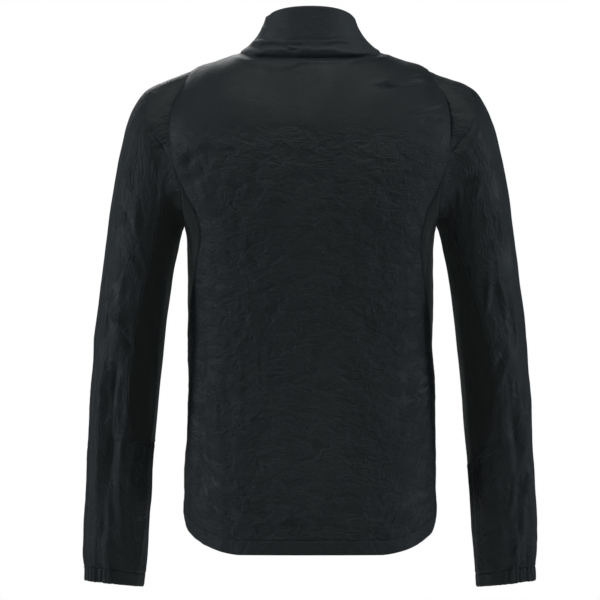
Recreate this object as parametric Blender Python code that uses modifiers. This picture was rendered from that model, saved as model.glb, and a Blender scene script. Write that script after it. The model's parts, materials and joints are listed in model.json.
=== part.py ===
"""Windbreaker, filled out as worn, with no wearer.

Metres, +Z up. The wearer faces -Y, so the back of the garment faces +Y and the wearer's left is +X.
The origin lies midway between the two points where the collar meets the shoulders.

The garment is one outer form, cut into the pieces that a maker would sew. The torso's form is a stack of
rings, each sleeve's form is a second stack that grows out of the armhole, and the collar's is a third.
Seams are lines on those forms. A piece is the part of a form between its seams, pulled back by half the
seam gap, with a Solidify modifier for the thickness of its cloth.
"""

from math import acos, asin, cos, degrees, exp, pi, radians, sin
from types import SimpleNamespace

import bmesh
import bpy
from mathutils import Matrix, Vector

MM = 0.001

# Cloth
CLOTH = 1.2 * MM  # wall of every panel
DOUBLED_CLOTH = 1.6 * MM  # wall of the collar, hem band and cuffs, which stand proud of the panels
SEAM_GAP = 0.5 * MM
LONGEST_PULL = 1.2 * MM  # a sharp corner of a panel is pulled back no further than this

# Heights of the form. A row number runs up the torso; it is about the length of cloth in decimetres.
HEM_ROW, BAND_ROW, ARMPIT_ROW, SHOULDER_ROW, NECK_ROW = 0.0, 0.195, 4.5, 6.6, 7.3
HEM_RISE = 51 * MM  # how much higher the hem is at the sides than at the centre of the back
HEM_CORNER = 60.0  # degrees from the side at which the drop tail starts to rise
HEM_RISE_ENDS_ROW = 3.6
SHOULDER_SEAM = -10.0  # degrees: the shoulder seam lies this far in front of the shoulder's ridge

# Panels, in cells across. The armhole has a cell every 15 degrees of its turn.
BACK_CELLS, FRONT_CELLS, BODY_ROWS, YOKE_ROWS, COLLAR_ROWS = 16, 5, 9, 3, 4
ARMHOLE_CELLS = 12  # from the armpit to the shoulder, on each side of the arm
SIDE_PANEL_CELL = 5  # cell of the armhole where the side panel's seams end
SIDE_PANEL_BENDS_ROW = 3.2  # above this the panel's rows of cells bend to the armhole's curve
UNDER_SLEEVE_BACK_CELL = {+1: 4, -1: 2}  # cell of the armhole where the under sleeve's seam starts
UNDER_SLEEVE_FRONT_CELL = 3
SLEEVE_ROWS_UNDER, SLEEVE_ROWS_FOREARM = 12, 4
MITRE_CELL = 6  # cell of the back's lower edge where the hem band is joined at a slant
MITRE_SLANT = 4.0  # degrees of lean in the slanting join

# Zip
ZIP_HALF_OPENING = 6.0 * MM
TAPE_INNER, TAPE_OUTER, TAPE_WALL = 3.2 * MM, 15.0 * MM, 1.0 * MM
TAPE_INSET = CLOTH + 0.5 * MM  # from the cloth's outer face to the tape's
CHAIN_HALF_WIDTH, CHAIN_THICKNESS = 2.5 * MM, 2.2 * MM
ZIP_INSET_ROWS = 0.03  # the zip starts this far above the hem's edge
SLIDER_ROW, ZIP_TOP_ROW = 0.86, 0.985  # rows of the collar
SLIDER_WIDTH, SLIDER_LENGTH, PLATE_WALL = 8.4 * MM, 11.0 * MM, 1.0 * MM
PLATE_FACE = CHAIN_THICKNESS / 2 + 0.3 * MM  # from the chain's middle to the inner face of a plate
POST_START, POST_WIDTH = 0.4 * MM, 3.2 * MM
BOX_LENGTH, BOX_WALL = 6.3 * MM, 3.0 * MM
STOP_SIZE, STOP_WIDTH, STOP_PLAY = 2.4 * MM, 1.7 * MM, 0.4 * MM
PIN_OUT, PIN_UP, PIN_RADIUS = 4.4 * MM, 2.0 * MM, 0.5 * MM
LUG_OUT, LUG_WALL, LUG_ROUND = 1.9 * MM, 0.8 * MM, 1.1 * MM
EYE_ROUND, PULL_PLAY, PULL_WALL = 1.5 * MM, 0.3 * MM, 1.2 * MM
PULL_NECK, PULL_WIDTH, PULL_LENGTH = 5.0 * MM, 5.2 * MM, 24.0 * MM


def table(names, *rows):
    """A smooth function from the first column to the others, which names lists."""
    keys = [row[0] for row in rows]
    columns = names.split()[1:]

    def slope(i, column):
        before, after = max(i - 1, 0), min(i + 1, len(rows) - 1)
        return (rows[after][column] - rows[before][column]) / (keys[after] - keys[before])

    def look_up(key):
        key = min(max(key, keys[0]), keys[-1])
        i = max(k for k in range(len(keys) - 1) if keys[k] <= key)
        span = keys[i + 1] - keys[i]
        u = (key - keys[i]) / span
        found = {}
        for column, name in enumerate(columns, 1):
            a, b = rows[i][column], rows[i + 1][column]
            m, n = slope(i, column) * span, slope(i + 1, column) * span
            curve = (2 * a + m - 2 * b + n) * u**3 + (3 * b - 3 * a - 2 * m - n) * u**2
            found[name] = curve + m * u + a
        return SimpleNamespace(**found)

    return look_up


# Rings of the torso, in millimetres. side_z, back_z and front_z are the ring's heights at the side, at the
# centre of the back and at the centre of the front; back_w and front_w are half widths of its two halves.
TORSO = table(
    "row   side_z  back_z  front_z  back_w  front_w  back_y  front_y  square",
    (0.0, -694.0, -694.0, -694.0, 175.6, 175.6, 112, 112, 2.4),
    (1.0, -594.0, -594.0, -594.0, 172.6, 172.6, 108, 112, 2.4),
    (2.0, -494.0, -494.0, -494.0, 170.6, 170.6, 100, 112, 2.4),
    (2.6, -434.0, -434.0, -434.0, 169.8, 169.8, 98, 113, 2.45),
    (3.3, -364.0, -364.0, -364.0, 169.4, 169.4, 102, 117, 2.5),
    (4.0, -294.0, -294.0, -294.0, 170.6, 170.6, 109, 121, 2.65),
    (4.5, -244.0, -246.0, -246.0, 174.5, 174.5, 113, 123, 2.8),
    (5.0, -194.0, -201.0, -206.0, 204.0, 188.0, 115, 122, 2.55),
    (5.5, -142.0, -153.0, -178.0, 224.0, 196.0, 114, 118, 2.3),
    (6.0, -88.0, -106.0, -152.0, 214.0, 190.0, 107, 112, 2.2),
    (6.3, -58.0, -81.0, -139.0, 194.0, 180.0, 99, 108, 2.15),
    (6.6, -27.0, -58.0, -124.0, 163.0, 163.0, 89, 102, 2.1),
    (7.0, -11.0, -28.0, -101.0, 126.0, 126.0, 73, 93, 2.1),
    (7.3, -1.0, -10.0, -85.0, 99.0, 99.0, 60, 86, 2.1),
)

# Half width at which the armhole cuts the torso's rows, behind and in front, in millimetres.
ARMHOLE_EDGE = table(
    "row  back_x  front_x",
    (4.5, 174.5, 174.5),
    (5.0, 177.5, 168.5),
    (5.3, 181.5, 165.0),
    (5.6, 185.5, 163.0),
    (5.9, 186.0, 162.0),
    (6.2, 181.5, 162.0),
    (6.45, 170.5, 162.5),
    (6.6, 163.0, 163.0),
)

# Side panel seams, in degrees from the side; positive is behind. The two sides of this garment differ.
SIDE_SEAM = table(
    "row  left_back  right_back  front",
    (0.0, -9.0, -9.0, -33.0),
    (1.0, -6.5, -4.0, -33.0),
    (2.0, -3.0, 2.0, -32.0),
    (2.6, 1.0, 8.5, -31.0),
    (3.3, 11.0, 17.5, -31.0),
    (4.0, 26.0, 29.5, -32.0),
    (4.5, 34.5, 34.0, -33.0),
    (4.8, 37.5, 37.0, -33.0),
)

# Rings of the collar, in millimetres, from the neck seam up.
COLLAR = table(
    "row  side_z  back_z  front_z  back_w  front_w  back_y  front_y  square",
    (0.0, -1.0, -10.0, -85.0, 99.0, 99.0, 60, 86, 2.1),
    (0.15, 5.0, 0.0, -76.0, 89.5, 89.5, 56, 84.5, 2.1),
    (0.4, 17.0, 18.0, -55.0, 77.0, 77.0, 54, 84, 2.15),
    (0.7, 31.0, 40.0, -31.0, 67.6, 67.6, 53, 85, 2.2),
    (1.0, 44.0, 62.3, -8.0, 61.8, 61.8, 52, 86, 2.25),
)

# Outer and inner outline of a sleeve as seen from behind, in millimetres; drop is the depth below the origin.
SLEEVE_OUTER = table(
    "drop  x",
    (27.0, 163.0),
    (33.5, 181.4),
    (44.3, 211.0),
    (55.4, 228.8),
    (77.6, 244.2),
    (99.7, 253.3),
    (121.9, 259.7),
    (166.2, 269.1),
    (210.5, 276.2),
    (254.8, 282.1),
    (324.0, 290.4),
    (390.6, 297.6),
    (457.0, 302.9),
    (523.5, 306.9),
    (590.0, 310.0),
    (656.5, 312.8),
    (732.6, 312.3),
)
SLEEVE_INNER = table(
    "drop  x",
    (244.0, 174.5),
    (247.0, 176.9),
    (254.8, 178.8),
    (266.0, 181.2),
    (291.0, 186.6),
    (324.0, 192.5),
    (357.0, 197.0),
    (390.6, 200.7),
    (457.0, 207.6),
    (523.5, 213.9),
    (590.0, 219.4),
    (656.5, 224.1),
    (689.7, 227.0),
    (741.0, 232.0),
)
# Rings of a sleeve: along is the distance down the arm in decimetres, and each ring runs from the outer
# outline at outer_drop to the inner outline at inner_drop; half_depth and middle_y place it front to back.
SLEEVE = table(
    "along  outer_drop  inner_drop  half_depth  middle_y",
    (0.0, 27.0, 244.0, 74.0, 0.0),
    (0.3, 33.5, 246.5, 71.0, 0.0),
    (0.6, 43.5, 249.5, 68.0, 0.0),
    (0.9, 57.0, 253.0, 65.5, 0.5),
    (1.2, 80.0, 257.5, 63.5, 1.0),
    (1.5, 112.0, 263.0, 62.0, 1.5),
    (1.9, 158.0, 272.0, 61.0, 2.0),
    (2.4, 215.0, 287.0, 60.5, 3.0),
    (3.0, 283.0, 312.0, 59.5, 4.0),
    (3.6, 345.0, 355.0, 58.0, 5.0),
    (4.5, 434.0, 443.0, 55.0, 5.0),
    (5.5, 533.0, 542.0, 50.0, -1.0),
    (6.5, 633.0, 642.0, 44.5, -12.0),
    (7.25, 708.0, 717.0, 40.5, -20.0),
    (7.42, 724.0, 733.0, 39.0, -22.0),
    (7.5, 732.6, 741.0, 38.5, -23.0),
)
SLEEVE_SQUARE = 2.15
ARMHOLE_FADE = 2.2  # the armhole's own bend has died away this far down the arm
CUFF_ALONG, CUFF_END = 7.31, 7.5
UNDER_SLEEVE_END = {+1: 5.5, -1: 5.78}
SLEEVE_BENDS = {  # rows of points down the under sleeve, before its end
    +1: (0.0, 0.3, 0.62, 0.95, 1.3, 1.7, 2.2, 2.8, 3.4, 4.0, 4.6, 5.1),
    -1: (0.0, 0.3, 0.62, 0.95, 1.35, 1.85, 2.45, 3.1, 3.8, 4.5, 5.1, 5.5),
}

# Seams of the under sleeve, in degrees round the arm from its inner side; positive is behind.
UNDER_SEAM = table(
    "along  left_back  right_back  front",
    (0.0, 60.0, 30.0, 45.0),
    (1.2, 66.0, 42.0, 52.0),
    (2.4, 71.0, 53.0, 60.0),
    (3.0, 74.0, 64.0, 66.0),
    (3.6, 79.5, 75.0, 72.0),
    (4.2, 85.0, 86.0, 75.0),
    (4.7, 85.5, 88.0, 73.0),
    (5.1, 81.0, 83.0, 66.0),
    (5.5, 74.0, 64.0, 50.0),
    (5.78, 68.0, 24.0, 22.0),
    (6.6, 50.0, 26.0, 30.0),
    (7.5, 50.0, 30.0, 45.0),
)

# The largest folds, in millimetres: soft swells, or hollows where the height is below nothing. On the body
# they are placed by x and drop, on its back (behind 1) or front (-1).
BODY_FOLDS = (
    # x, drop, half_width, half_length, height, behind
    (152.0, 166.0, 28.0, 48.0, -5.0, 1),
    (-148.0, 160.0, 28.0, 48.0, -4.0, 1),
    (-96.0, 262.0, 40.0, 60.0, -3.0, 1),
    (88.0, 300.0, 44.0, 60.0, -2.0, 1),
    (138.0, 500.0, 28.0, 120.0, -3.5, 1),
    (-142.0, 480.0, 28.0, 120.0, -3.5, 1),
    (104.0, 540.0, 26.0, 110.0, 2.5, 1),
    (120.0, 210.0, 36.0, 52.0, -4.0, -1),
    (-124.0, 218.0, 36.0, 52.0, -4.0, -1),
    (106.0, 430.0, 28.0, 110.0, 3.0, -1),
    (-110.0, 450.0, 28.0, 110.0, 3.0, -1),
)

# The same on the sleeves, placed by the distance down the arm and the turn round it.
ARM_FOLDS = (
    # along, turn, half_length, half_turn, height, side
    (0.75, 115.0, 0.26, 20.0, -2.5, 1),
    (1.25, 74.0, 0.32, 20.0, -3.0, 1),
    (2.6, 96.0, 0.45, 22.0, 2.0, 1),
    (3.8, 118.0, 0.40, 18.0, 2.5, 1),
    (4.6, 142.0, 1.0, 16.0, 2.0, 1),
    (3.6, 282.0, 0.45, 24.0, -3.0, 1),
    (0.75, 118.0, 0.26, 20.0, -3.0, -1),
    (1.5, 90.0, 0.32, 22.0, -3.5, -1),
    (3.0, 112.0, 0.50, 22.0, 2.0, -1),
    (4.6, 116.0, 0.45, 18.0, 2.5, -1),
    (5.4, 146.0, 0.9, 16.0, 2.0, -1),
    (3.7, 280.0, 0.45, 24.0, -3.0, -1),
)
FOLDS_START, FOLDS_END = 0.45, 6.9  # folds fade out towards the armhole and the cuff

COLOURS = {
    "nylon": (0.016, 0.019, 0.022, 0.55),
    "stretch": (0.012, 0.014, 0.014, 0.8),
    "rib": (0.020, 0.023, 0.026, 0.6),
    "tape": (0.014, 0.015, 0.016, 0.85),
    "moulded": (0.020, 0.020, 0.021, 0.45),
    "enamel": (0.022, 0.022, 0.023, 0.35),
}


# ------------------------------------------------------------------ forms


def signed_power(value, power):
    return abs(value) ** power * (1 if value >= 0 else -1)


def ring_point(ring, angle, lift=0.0):
    """A point of a torso or collar ring, in metres. The angle is 0 at the wearer's left and 90 behind."""
    across, behind = cos(radians(angle)), sin(radians(angle))
    power = 2 / ring.square
    share = min(max(0.5 + behind / 0.6, 0.0), 1.0)
    width = ring.front_w + (ring.back_w - ring.front_w) * share * share * (3 - 2 * share)
    depth = ring.back_y if behind >= 0 else ring.front_y
    height = ring.side_z + (ring.back_z - ring.side_z) * behind
    if behind < 0:
        height += (ring.front_z + ring.back_z - 2 * ring.side_z) * behind * behind
    x = width * signed_power(across, power)
    y = depth * signed_power(behind, power)
    return Vector((x, y, height)) * MM + Vector((0, 0, lift))


def hem_lift(angle, row):
    """The drop tail: rows near the hem rise towards the sides and stay up across the front."""
    from_side = degrees(asin(max(-1.0, min(1.0, sin(radians(angle))))))
    climb = min(max((HEM_CORNER - from_side) / HEM_CORNER, 0.0), 1.08)
    left = min(max(1 - (row - BAND_ROW) / (HEM_RISE_ENDS_ROW - BAND_ROW), 0.0), 1.0)
    return HEM_RISE * climb**1.45 * left * left * (3 - 2 * left)


def fall_off(x, y):
    return exp(-x * x - y * y)


def torso_point(angle, row):
    ring = TORSO(row)
    point = ring_point(ring, angle, hem_lift(angle, row))
    x, drop, behind = point.x / MM, -point.z / MM, sin(radians(angle))
    outward = Vector((cos(radians(angle)) / ring.back_w, behind / ring.back_y, 0)).normalized()
    for fold_x, fold_drop, half_width, half_length, height, rear in BODY_FOLDS:
        facing = min(max(behind * rear * 3, 0.0), 1.0)
        share = fall_off((x - fold_x) / half_width, (drop - fold_drop) / half_length)
        point += outward * height * share * facing * MM
    return point


def collar_point(angle, row):
    return ring_point(COLLAR(row), angle)


def angle_at(width, ring_width, square):
    """Degrees from the side at which a ring is this wide."""
    return degrees(acos(min(1.0, width / ring_width) ** (square / 2)))


def seam_shift(row):
    """How far forward the middle of the armhole lies: nothing at the armpit, the shoulder seam at the top."""
    share = min(max((row - ARMPIT_ROW) / (SHOULDER_ROW - ARMPIT_ROW), 0.0), 1.0)
    return SHOULDER_SEAM * share * share


def armhole_row(turn):
    return ARMPIT_ROW + (SHOULDER_ROW - ARMPIT_ROW) * (1 - cos(radians(turn))) / 2


def armhole_angle(turn):
    """Degrees from the side of the armhole's edge. The turn is 0 at the armpit, 90 behind, 180 on top."""
    row = armhole_row(turn)
    ring, edge = TORSO(row), ARMHOLE_EDGE(row)
    if sin(radians(turn)) >= 0:
        return seam_shift(row) + angle_at(edge.back_x, ring.back_w, ring.square)
    return seam_shift(row) - angle_at(edge.front_x, ring.front_w, ring.square)


def armhole_cell_turn(cell):
    return 180.0 * cell / ARMHOLE_CELLS


def on_side(angle, side):
    """An angle from the side, as an angle of the rings: side is +1 on the wearer's left, -1 on the right."""
    return angle if side > 0 else 180 - angle


def armhole_point(turn, side):
    return torso_point(on_side(armhole_angle(turn), side), armhole_row(turn))


def side_seam(row, side, back):
    """Degrees from the side of a side panel's seam; its last stretch runs into the armhole."""
    top_turn = armhole_cell_turn(SIDE_PANEL_CELL)
    top_row = armhole_row(top_turn)
    seam = SIDE_SEAM(row)
    angle = (seam.left_back if side > 0 else seam.right_back) if back else seam.front
    start_row = 4.8
    if row > start_row:
        end = armhole_angle(top_turn if back else -top_turn)
        share = (row - start_row) / (top_row - start_row)
        angle += (end - angle) * share
    return angle


def zip_edge_angle(ring):
    """Degrees behind the side, which is negative, at which the zip's opening cuts the front of a ring."""
    return -degrees(acos((ZIP_HALF_OPENING / MM / ring.front_w) ** (ring.square / 2)))


def sleeve_point(turn, along, side):
    """A point of a sleeve, in metres. The turn is 0 on the arm's inner side, 90 behind and 180 outside."""
    ring = SLEEVE(along)
    outer = Vector((SLEEVE_OUTER(ring.outer_drop).x, 0, -ring.outer_drop))
    inner = Vector((SLEEVE_INNER(ring.inner_drop).x, 0, -ring.inner_drop))
    fade = max(0.0, 1 - along / ARMHOLE_FADE) ** 2
    square = 2 + (SLEEVE_SQUARE - 2) * (1 - fade)
    across = signed_power(cos(radians(turn)), 2 / square)
    behind = signed_power(sin(radians(turn)), 2 / square)
    point = (outer + inner) / 2 + (inner - outer) / 2 * across
    point += Vector((0, ring.middle_y + ring.half_depth * behind, 0))
    if fade > 0:
        start = SLEEVE(0.0)
        top = Vector((SLEEVE_OUTER(start.outer_drop).x, 0, -start.outer_drop))
        low = Vector((SLEEVE_INNER(start.inner_drop).x, 0, -start.inner_drop))
        plain = (top + low) / 2 + (low - top) / 2 * cos(radians(turn))
        plain += Vector((0, start.middle_y + start.half_depth * sin(radians(turn)), 0))
        point += (armhole_point(turn, +1) / MM - plain) * fade
    centre = (outer + inner) / 2 + Vector((0, ring.middle_y, 0))
    fade = min(along / FOLDS_START, max(FOLDS_END - along, 0.0) / FOLDS_START, 1.0)
    for fold_along, fold_turn, half_length, half_turn, height, fold_side in ARM_FOLDS:
        if fold_side == side:
            away = (turn - fold_turn + 180) % 360 - 180
            share = fall_off((along - fold_along) / half_length, away / half_turn)
            point += (point - centre).normalized() * height * share * fade
    point.x *= side
    return point * MM


# ------------------------------------------------------------------ building blocks


def material(kind):
    name = f"windbreaker_{kind}"
    made = bpy.data.materials.get(name)
    if made is None:
        made = bpy.data.materials.new(name)
        made.use_nodes = True
        red, green, blue, roughness = COLOURS[kind]
        shader = made.node_tree.nodes["Principled BSDF"]
        shader.inputs["Base Color"].default_value = (red, green, blue, 1)
        shader.inputs["Roughness"].default_value = roughness
        shader.inputs["Metallic"].default_value = 0.0
    return made


def add_object(name, mesh, kind):
    piece = bpy.data.objects.new(name, mesh)
    parts.objects.link(piece)
    mesh.materials.append(material(kind))
    return piece


def open_seams(bm, wall):
    """Pulls every cut edge of an open surface back by half the seam gap, square to the edge.

    Where the surface is convex the inner sides of two neighbours lean together, so it adds that lean."""
    bm.normal_update()
    moves = {}
    for vert in bm.verts:
        inward = []
        for edge in vert.link_edges:
            if not edge.is_boundary:
                continue
            face = edge.link_faces[0]
            along = (edge.verts[1].co - edge.verts[0].co).normalized()
            across = face.normal.cross(along).normalized()
            if across.dot(face.calc_center_median() - vert.co) < 0:
                across.negate()
            beyond = sum((v.normal for v in face.verts if v not in edge.verts), Vector())
            lean = (beyond / 2 - face.normal).dot(across)
            inward.append((across, SEAM_GAP / 2 + wall * max(0.0, lean)))
        if len(inward) == 2:
            (first, first_gap), (second, second_gap) = inward
            both = first * first_gap + second * second_gap
            moves[vert] = both / max(1 + first.dot(second), 0.35)
    for vert, move in moves.items():
        vert.co += move * min(1.0, LONGEST_PULL / move.length)


def cloth_panel(name, rows, kind="nylon", wall=CLOTH, closed=False, flip=False, keep=None, split=False):
    """A cloth wall on a grid of points, whose rows are lists of equal length.

    keep chooses the cells, and split cuts them along their shorter diagonal."""
    bm = bmesh.new()
    grid = [[bm.verts.new(point) for point in row] for row in rows]
    columns = len(rows[0])
    for i in range(len(rows) - 1):
        for j in range(columns if closed else columns - 1):
            if keep is not None and not keep(i, j):
                continue
            k = (j + 1) % columns
            corners = [grid[i][j], grid[i][k], grid[i + 1][k], grid[i + 1][j]]
            bm.faces.new(corners[::-1] if flip else corners)
    loose = [vert for vert in bm.verts if not vert.link_faces]
    bmesh.ops.delete(bm, geom=loose, context="VERTS")
    open_seams(bm, wall)
    if split:
        bmesh.ops.triangulate(bm, faces=bm.faces, quad_method="SHORT_EDGE")
    mesh = bpy.data.meshes.new(name)
    bm.to_mesh(mesh)
    bm.free()
    mesh.shade_smooth()
    piece = add_object(name, mesh, kind)
    solid = piece.modifiers.new("Cloth", "SOLIDIFY")
    solid.thickness = wall
    solid.offset = (wall - 2 * CLOTH) / wall  # the inner face always lies one cloth wall inside the form
    return piece


def spread(first, last, cells):
    return [first + (last - first) * k / cells for k in range(cells + 1)]


# ------------------------------------------------------------------ torso

BODY = spread(BAND_ROW, ARMPIT_ROW, BODY_ROWS)
ARMHOLE = [armhole_row(armhole_cell_turn(cell)) for cell in range(1, ARMHOLE_CELLS + 1)]
YOKE = spread(SHOULDER_ROW, NECK_ROW, YOKE_ROWS)[1:]
TORSO_ROWS = BODY + ARMHOLE + YOKE
SLIDER_STATION = 2 + len(TORSO_ROWS) + COLLAR_ROWS - 1  # of zip_stations()
SEAM_ROWS = BODY_ROWS + SIDE_PANEL_CELL  # rows of the side panel's seams, above the hem band


def panel_edge(index, side, back):
    """Degrees from the side of the outer edge of the back or a front, on a row of the torso."""
    row = TORSO_ROWS[index]
    if index <= SEAM_ROWS:
        return side_seam(row, side, back)
    cell = index - BODY_ROWS
    if cell >= ARMHOLE_CELLS:
        return SHOULDER_SEAM
    turn = armhole_cell_turn(cell)
    return armhole_angle(turn if back else -turn)


def make_back():
    rows = []
    for index, row in enumerate(TORSO_ROWS):
        left = on_side(panel_edge(index, +1, True), +1)
        right = on_side(panel_edge(index, -1, True), -1)
        rows.append([torso_point(angle, row) for angle in spread(left, right, BACK_CELLS)])
    return cloth_panel("back", rows)


def front_angles(ring, edge):
    return spread(zip_edge_angle(ring), edge, FRONT_CELLS)


def make_front(side, name):
    rows = []
    for index, row in enumerate(TORSO_ROWS):
        angles = front_angles(TORSO(row), panel_edge(index, side, False))
        rows.append([torso_point(on_side(angle, side), row) for angle in angles])
    return cloth_panel(name, rows, flip=side < 0)


def make_side_panel(side, name):
    """The side panel fills the space between its two seams, the hem band and the foot of the armhole."""
    cells = 2 * SIDE_PANEL_CELL
    seam_rows = TORSO_ROWS[: SEAM_ROWS + 1]
    turns = [armhole_cell_turn(k - SIDE_PANEL_CELL) for k in range(cells + 1)]
    even_top = spread(armhole_angle(turns[0]), armhole_angle(turns[-1]), cells)
    rows = []
    for row in seam_rows:
        share = max(0.0, (row - SIDE_PANEL_BENDS_ROW) / (seam_rows[-1] - SIDE_PANEL_BENDS_ROW))
        share = share * share * (3 - 2 * share)
        angles = spread(side_seam(row, side, False), side_seam(row, side, True), cells)
        points = []
        for turn, even, angle in zip(turns, even_top, angles):
            angle += share * (armhole_angle(turn) - even)
            height = row + share * (armhole_row(turn) - seam_rows[-1])
            points.append(torso_point(on_side(angle, side), height))
        rows.append(points)
    return cloth_panel(name, rows, kind="stretch", flip=side < 0)


# ------------------------------------------------------------------ hem band and collar


def hem_angles(side):
    """Angles of the band's joints with the panels above it, from the zip round to the slanting join."""
    edge = side_seam(BAND_ROW, side, True)
    other = side_seam(BAND_ROW, -side, True)
    front = front_angles(TORSO(BAND_ROW), side_seam(BAND_ROW, side, False))
    panel = spread(side_seam(BAND_ROW, side, False), edge, 2 * SIDE_PANEL_CELL)
    back = spread(edge, 180 - other, BACK_CELLS)
    return front, panel, back


def band_rows(angles, lean_first=0.0, lean_last=0.0):
    low, high = list(angles), list(angles)
    low[0] += lean_first
    low[-1] += lean_last
    middle = [(a + b) / 2 for a, b in zip(low, high)]
    heights = (HEM_ROW, (HEM_ROW + BAND_ROW) / 2, BAND_ROW)
    return [[(angle, row) for angle in line] for line, row in zip((low, middle, high), heights)]


def make_hem_band():
    front, panel, back = hem_angles(+1)
    inside = back[MITRE_CELL : BACK_CELLS + 1 - MITRE_CELL]
    rows = band_rows(inside, -MITRE_SLANT, MITRE_SLANT)
    points = [[torso_point(angle, row) for angle, row in line] for line in rows]
    cloth_panel("hem_back", points, wall=DOUBLED_CLOTH)
    for side, name in ((+1, "hem_left"), (-1, "hem_right")):
        front, panel, back = hem_angles(side)
        angles = front + panel[1:] + back[1 : MITRE_CELL + 1]
        rows = band_rows(angles, 0.0, -MITRE_SLANT)
        points = [[torso_point(on_side(angle, side), row) for angle, row in line] for line in rows]
        cloth_panel(name, points, wall=DOUBLED_CLOTH, flip=side < 0)


def make_collar():
    """One stand from zip edge to zip edge; its lower edge matches the neck edges of the back and fronts."""
    left = front_angles(TORSO(NECK_ROW), SHOULDER_SEAM)
    back = spread(SHOULDER_SEAM, 180 - SHOULDER_SEAM, BACK_CELLS)
    angles = left + back[1:] + [180 - angle for angle in left[::-1][1:]]
    rows = []
    for row in spread(0.0, 1.0, COLLAR_ROWS):
        drift = zip_edge_angle(COLLAR(row)) - left[0]
        line = list(angles)
        line[0] += drift
        line[-1] -= drift
        rows.append([collar_point(angle, row) for angle in line])
    return cloth_panel("collar", rows, wall=DOUBLED_CLOTH)


# ------------------------------------------------------------------ sleeves


def sleeve_turns(along, side):
    """Turns of a sleeve ring's points: first across the under sleeve, then round the rest of the arm."""
    seam = UNDER_SEAM(along)
    back = seam.left_back if side > 0 else seam.right_back
    under = UNDER_SLEEVE_FRONT_CELL + UNDER_SLEEVE_BACK_CELL[side]
    rest = 2 * ARMHOLE_CELLS - under
    return spread(-seam.front, back, under)[:-1] + spread(back, 360 - seam.front, rest)[:-1]


def make_sleeve(side, suffix):
    end = UNDER_SLEEVE_END[side]
    stops = [*SLEEVE_BENDS[side], end] + spread(end, CUFF_ALONG, SLEEVE_ROWS_FOREARM)[1:]
    rows = [[sleeve_point(turn, along, side) for turn in sleeve_turns(along, side)] for along in stops]
    under_cells = UNDER_SLEEVE_FRONT_CELL + UNDER_SLEEVE_BACK_CELL[side]

    def is_under(i, j):
        return i < SLEEVE_ROWS_UNDER and j < under_cells

    turned = side < 0
    ways = dict(closed=True, flip=turned, split=True)
    cloth_panel(f"under_sleeve_{suffix}", rows, kind="stretch", keep=is_under, **ways)
    cloth_panel(f"sleeve_{suffix}", rows, keep=lambda i, j: not is_under(i, j), **ways)
    cuff = [
        [sleeve_point(turn, along, side) for turn in sleeve_turns(CUFF_ALONG, side)]
        for along in spread(CUFF_ALONG, CUFF_END, 2)
    ]
    cloth_panel(f"cuff_{suffix}", cuff, wall=DOUBLED_CLOTH, closed=True, flip=turned)


# ------------------------------------------------------------------ zip


def zip_stations():
    """Rows up the centre of the front, as (form, row, the two angles of the cloth cell beside the zip)."""
    band = front_angles(TORSO(BAND_ROW), side_seam(BAND_ROW, +1, False))[:2]
    stations = [(torso_point, row, band) for row in (HEM_ROW + ZIP_INSET_ROWS, BAND_ROW / 2)]
    for index, row in enumerate(TORSO_ROWS):
        angles = front_angles(TORSO(row), panel_edge(index, +1, False))[:2]
        stations.append((torso_point, row, angles))
    beside = front_angles(TORSO(NECK_ROW), SHOULDER_SEAM)[1]
    for row in (*spread(0.0, 1.0, COLLAR_ROWS)[1:-1], SLIDER_ROW, ZIP_TOP_ROW):
        stations.append((collar_point, row, (zip_edge_angle(COLLAR(row)), beside)))
    return stations


def zip_line(x, inset, first=0, last=None):
    """Points up the front at a distance x from the centre, inset below the cloth's outer face."""
    cells = [(form(edge, row), form(inner, row)) for form, row, (edge, inner) in zip_stations()]
    points = []
    for i, (near, far) in enumerate(cells):
        below, above = cells[max(i - 1, 0)][0], cells[min(i + 1, len(cells) - 1)][0]
        outward = (far - near).cross(above - below).normalized()
        share = (x - near.x) / (far.x - near.x)
        points.append(near + (far - near) * share - outward * inset)
    return points[first:last]


def strip(name, inner_x, outer_x, inset, wall, kind, side=0, first=0, last=None):
    """A flat strip up the front. With a side it lies beside the centre, without one it lies across it."""
    near = zip_line(outer_x, inset, first, last)
    if side:
        far = zip_line(inner_x, inset, first, last)
    else:
        far = [Vector((-point.x, point.y, point.z)) for point in near]
    rows = [list(pair) for pair in zip(far, near)]
    if side < 0:
        rows = [[Vector((-p.x, p.y, p.z)) for p in row[::-1]] for row in rows]
    bm = bmesh.new()
    verts = [[bm.verts.new(point) for point in row] for row in rows]
    for low, high in zip(verts, verts[1:]):
        bm.faces.new((low[0], low[1], high[1], high[0]))
    mesh = bpy.data.meshes.new(name)
    bm.to_mesh(mesh)
    bm.free()
    piece = add_object(name, mesh, kind)
    solid = piece.modifiers.new("Wall", "SOLIDIFY")
    solid.thickness = wall
    solid.offset = -1.0
    return piece


def zip_frame(station):
    """The middle of the chain at a station, with axes across, inward and up the zip."""
    edge = zip_line(CHAIN_HALF_WIDTH, TAPE_INSET + TAPE_WALL / 2)
    centre = [Vector((0, point.y, point.z)) for point in edge]
    below, above = (station - 1, station) if station else (0, 1)
    up = (centre[above] - centre[below]).normalized()
    inward = up.cross(Vector((1, 0, 0))).normalized()
    axes = Matrix((Vector((1, 0, 0)), inward, up)).transposed().to_4x4()
    return Matrix.Translation(centre[station]) @ axes


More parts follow.
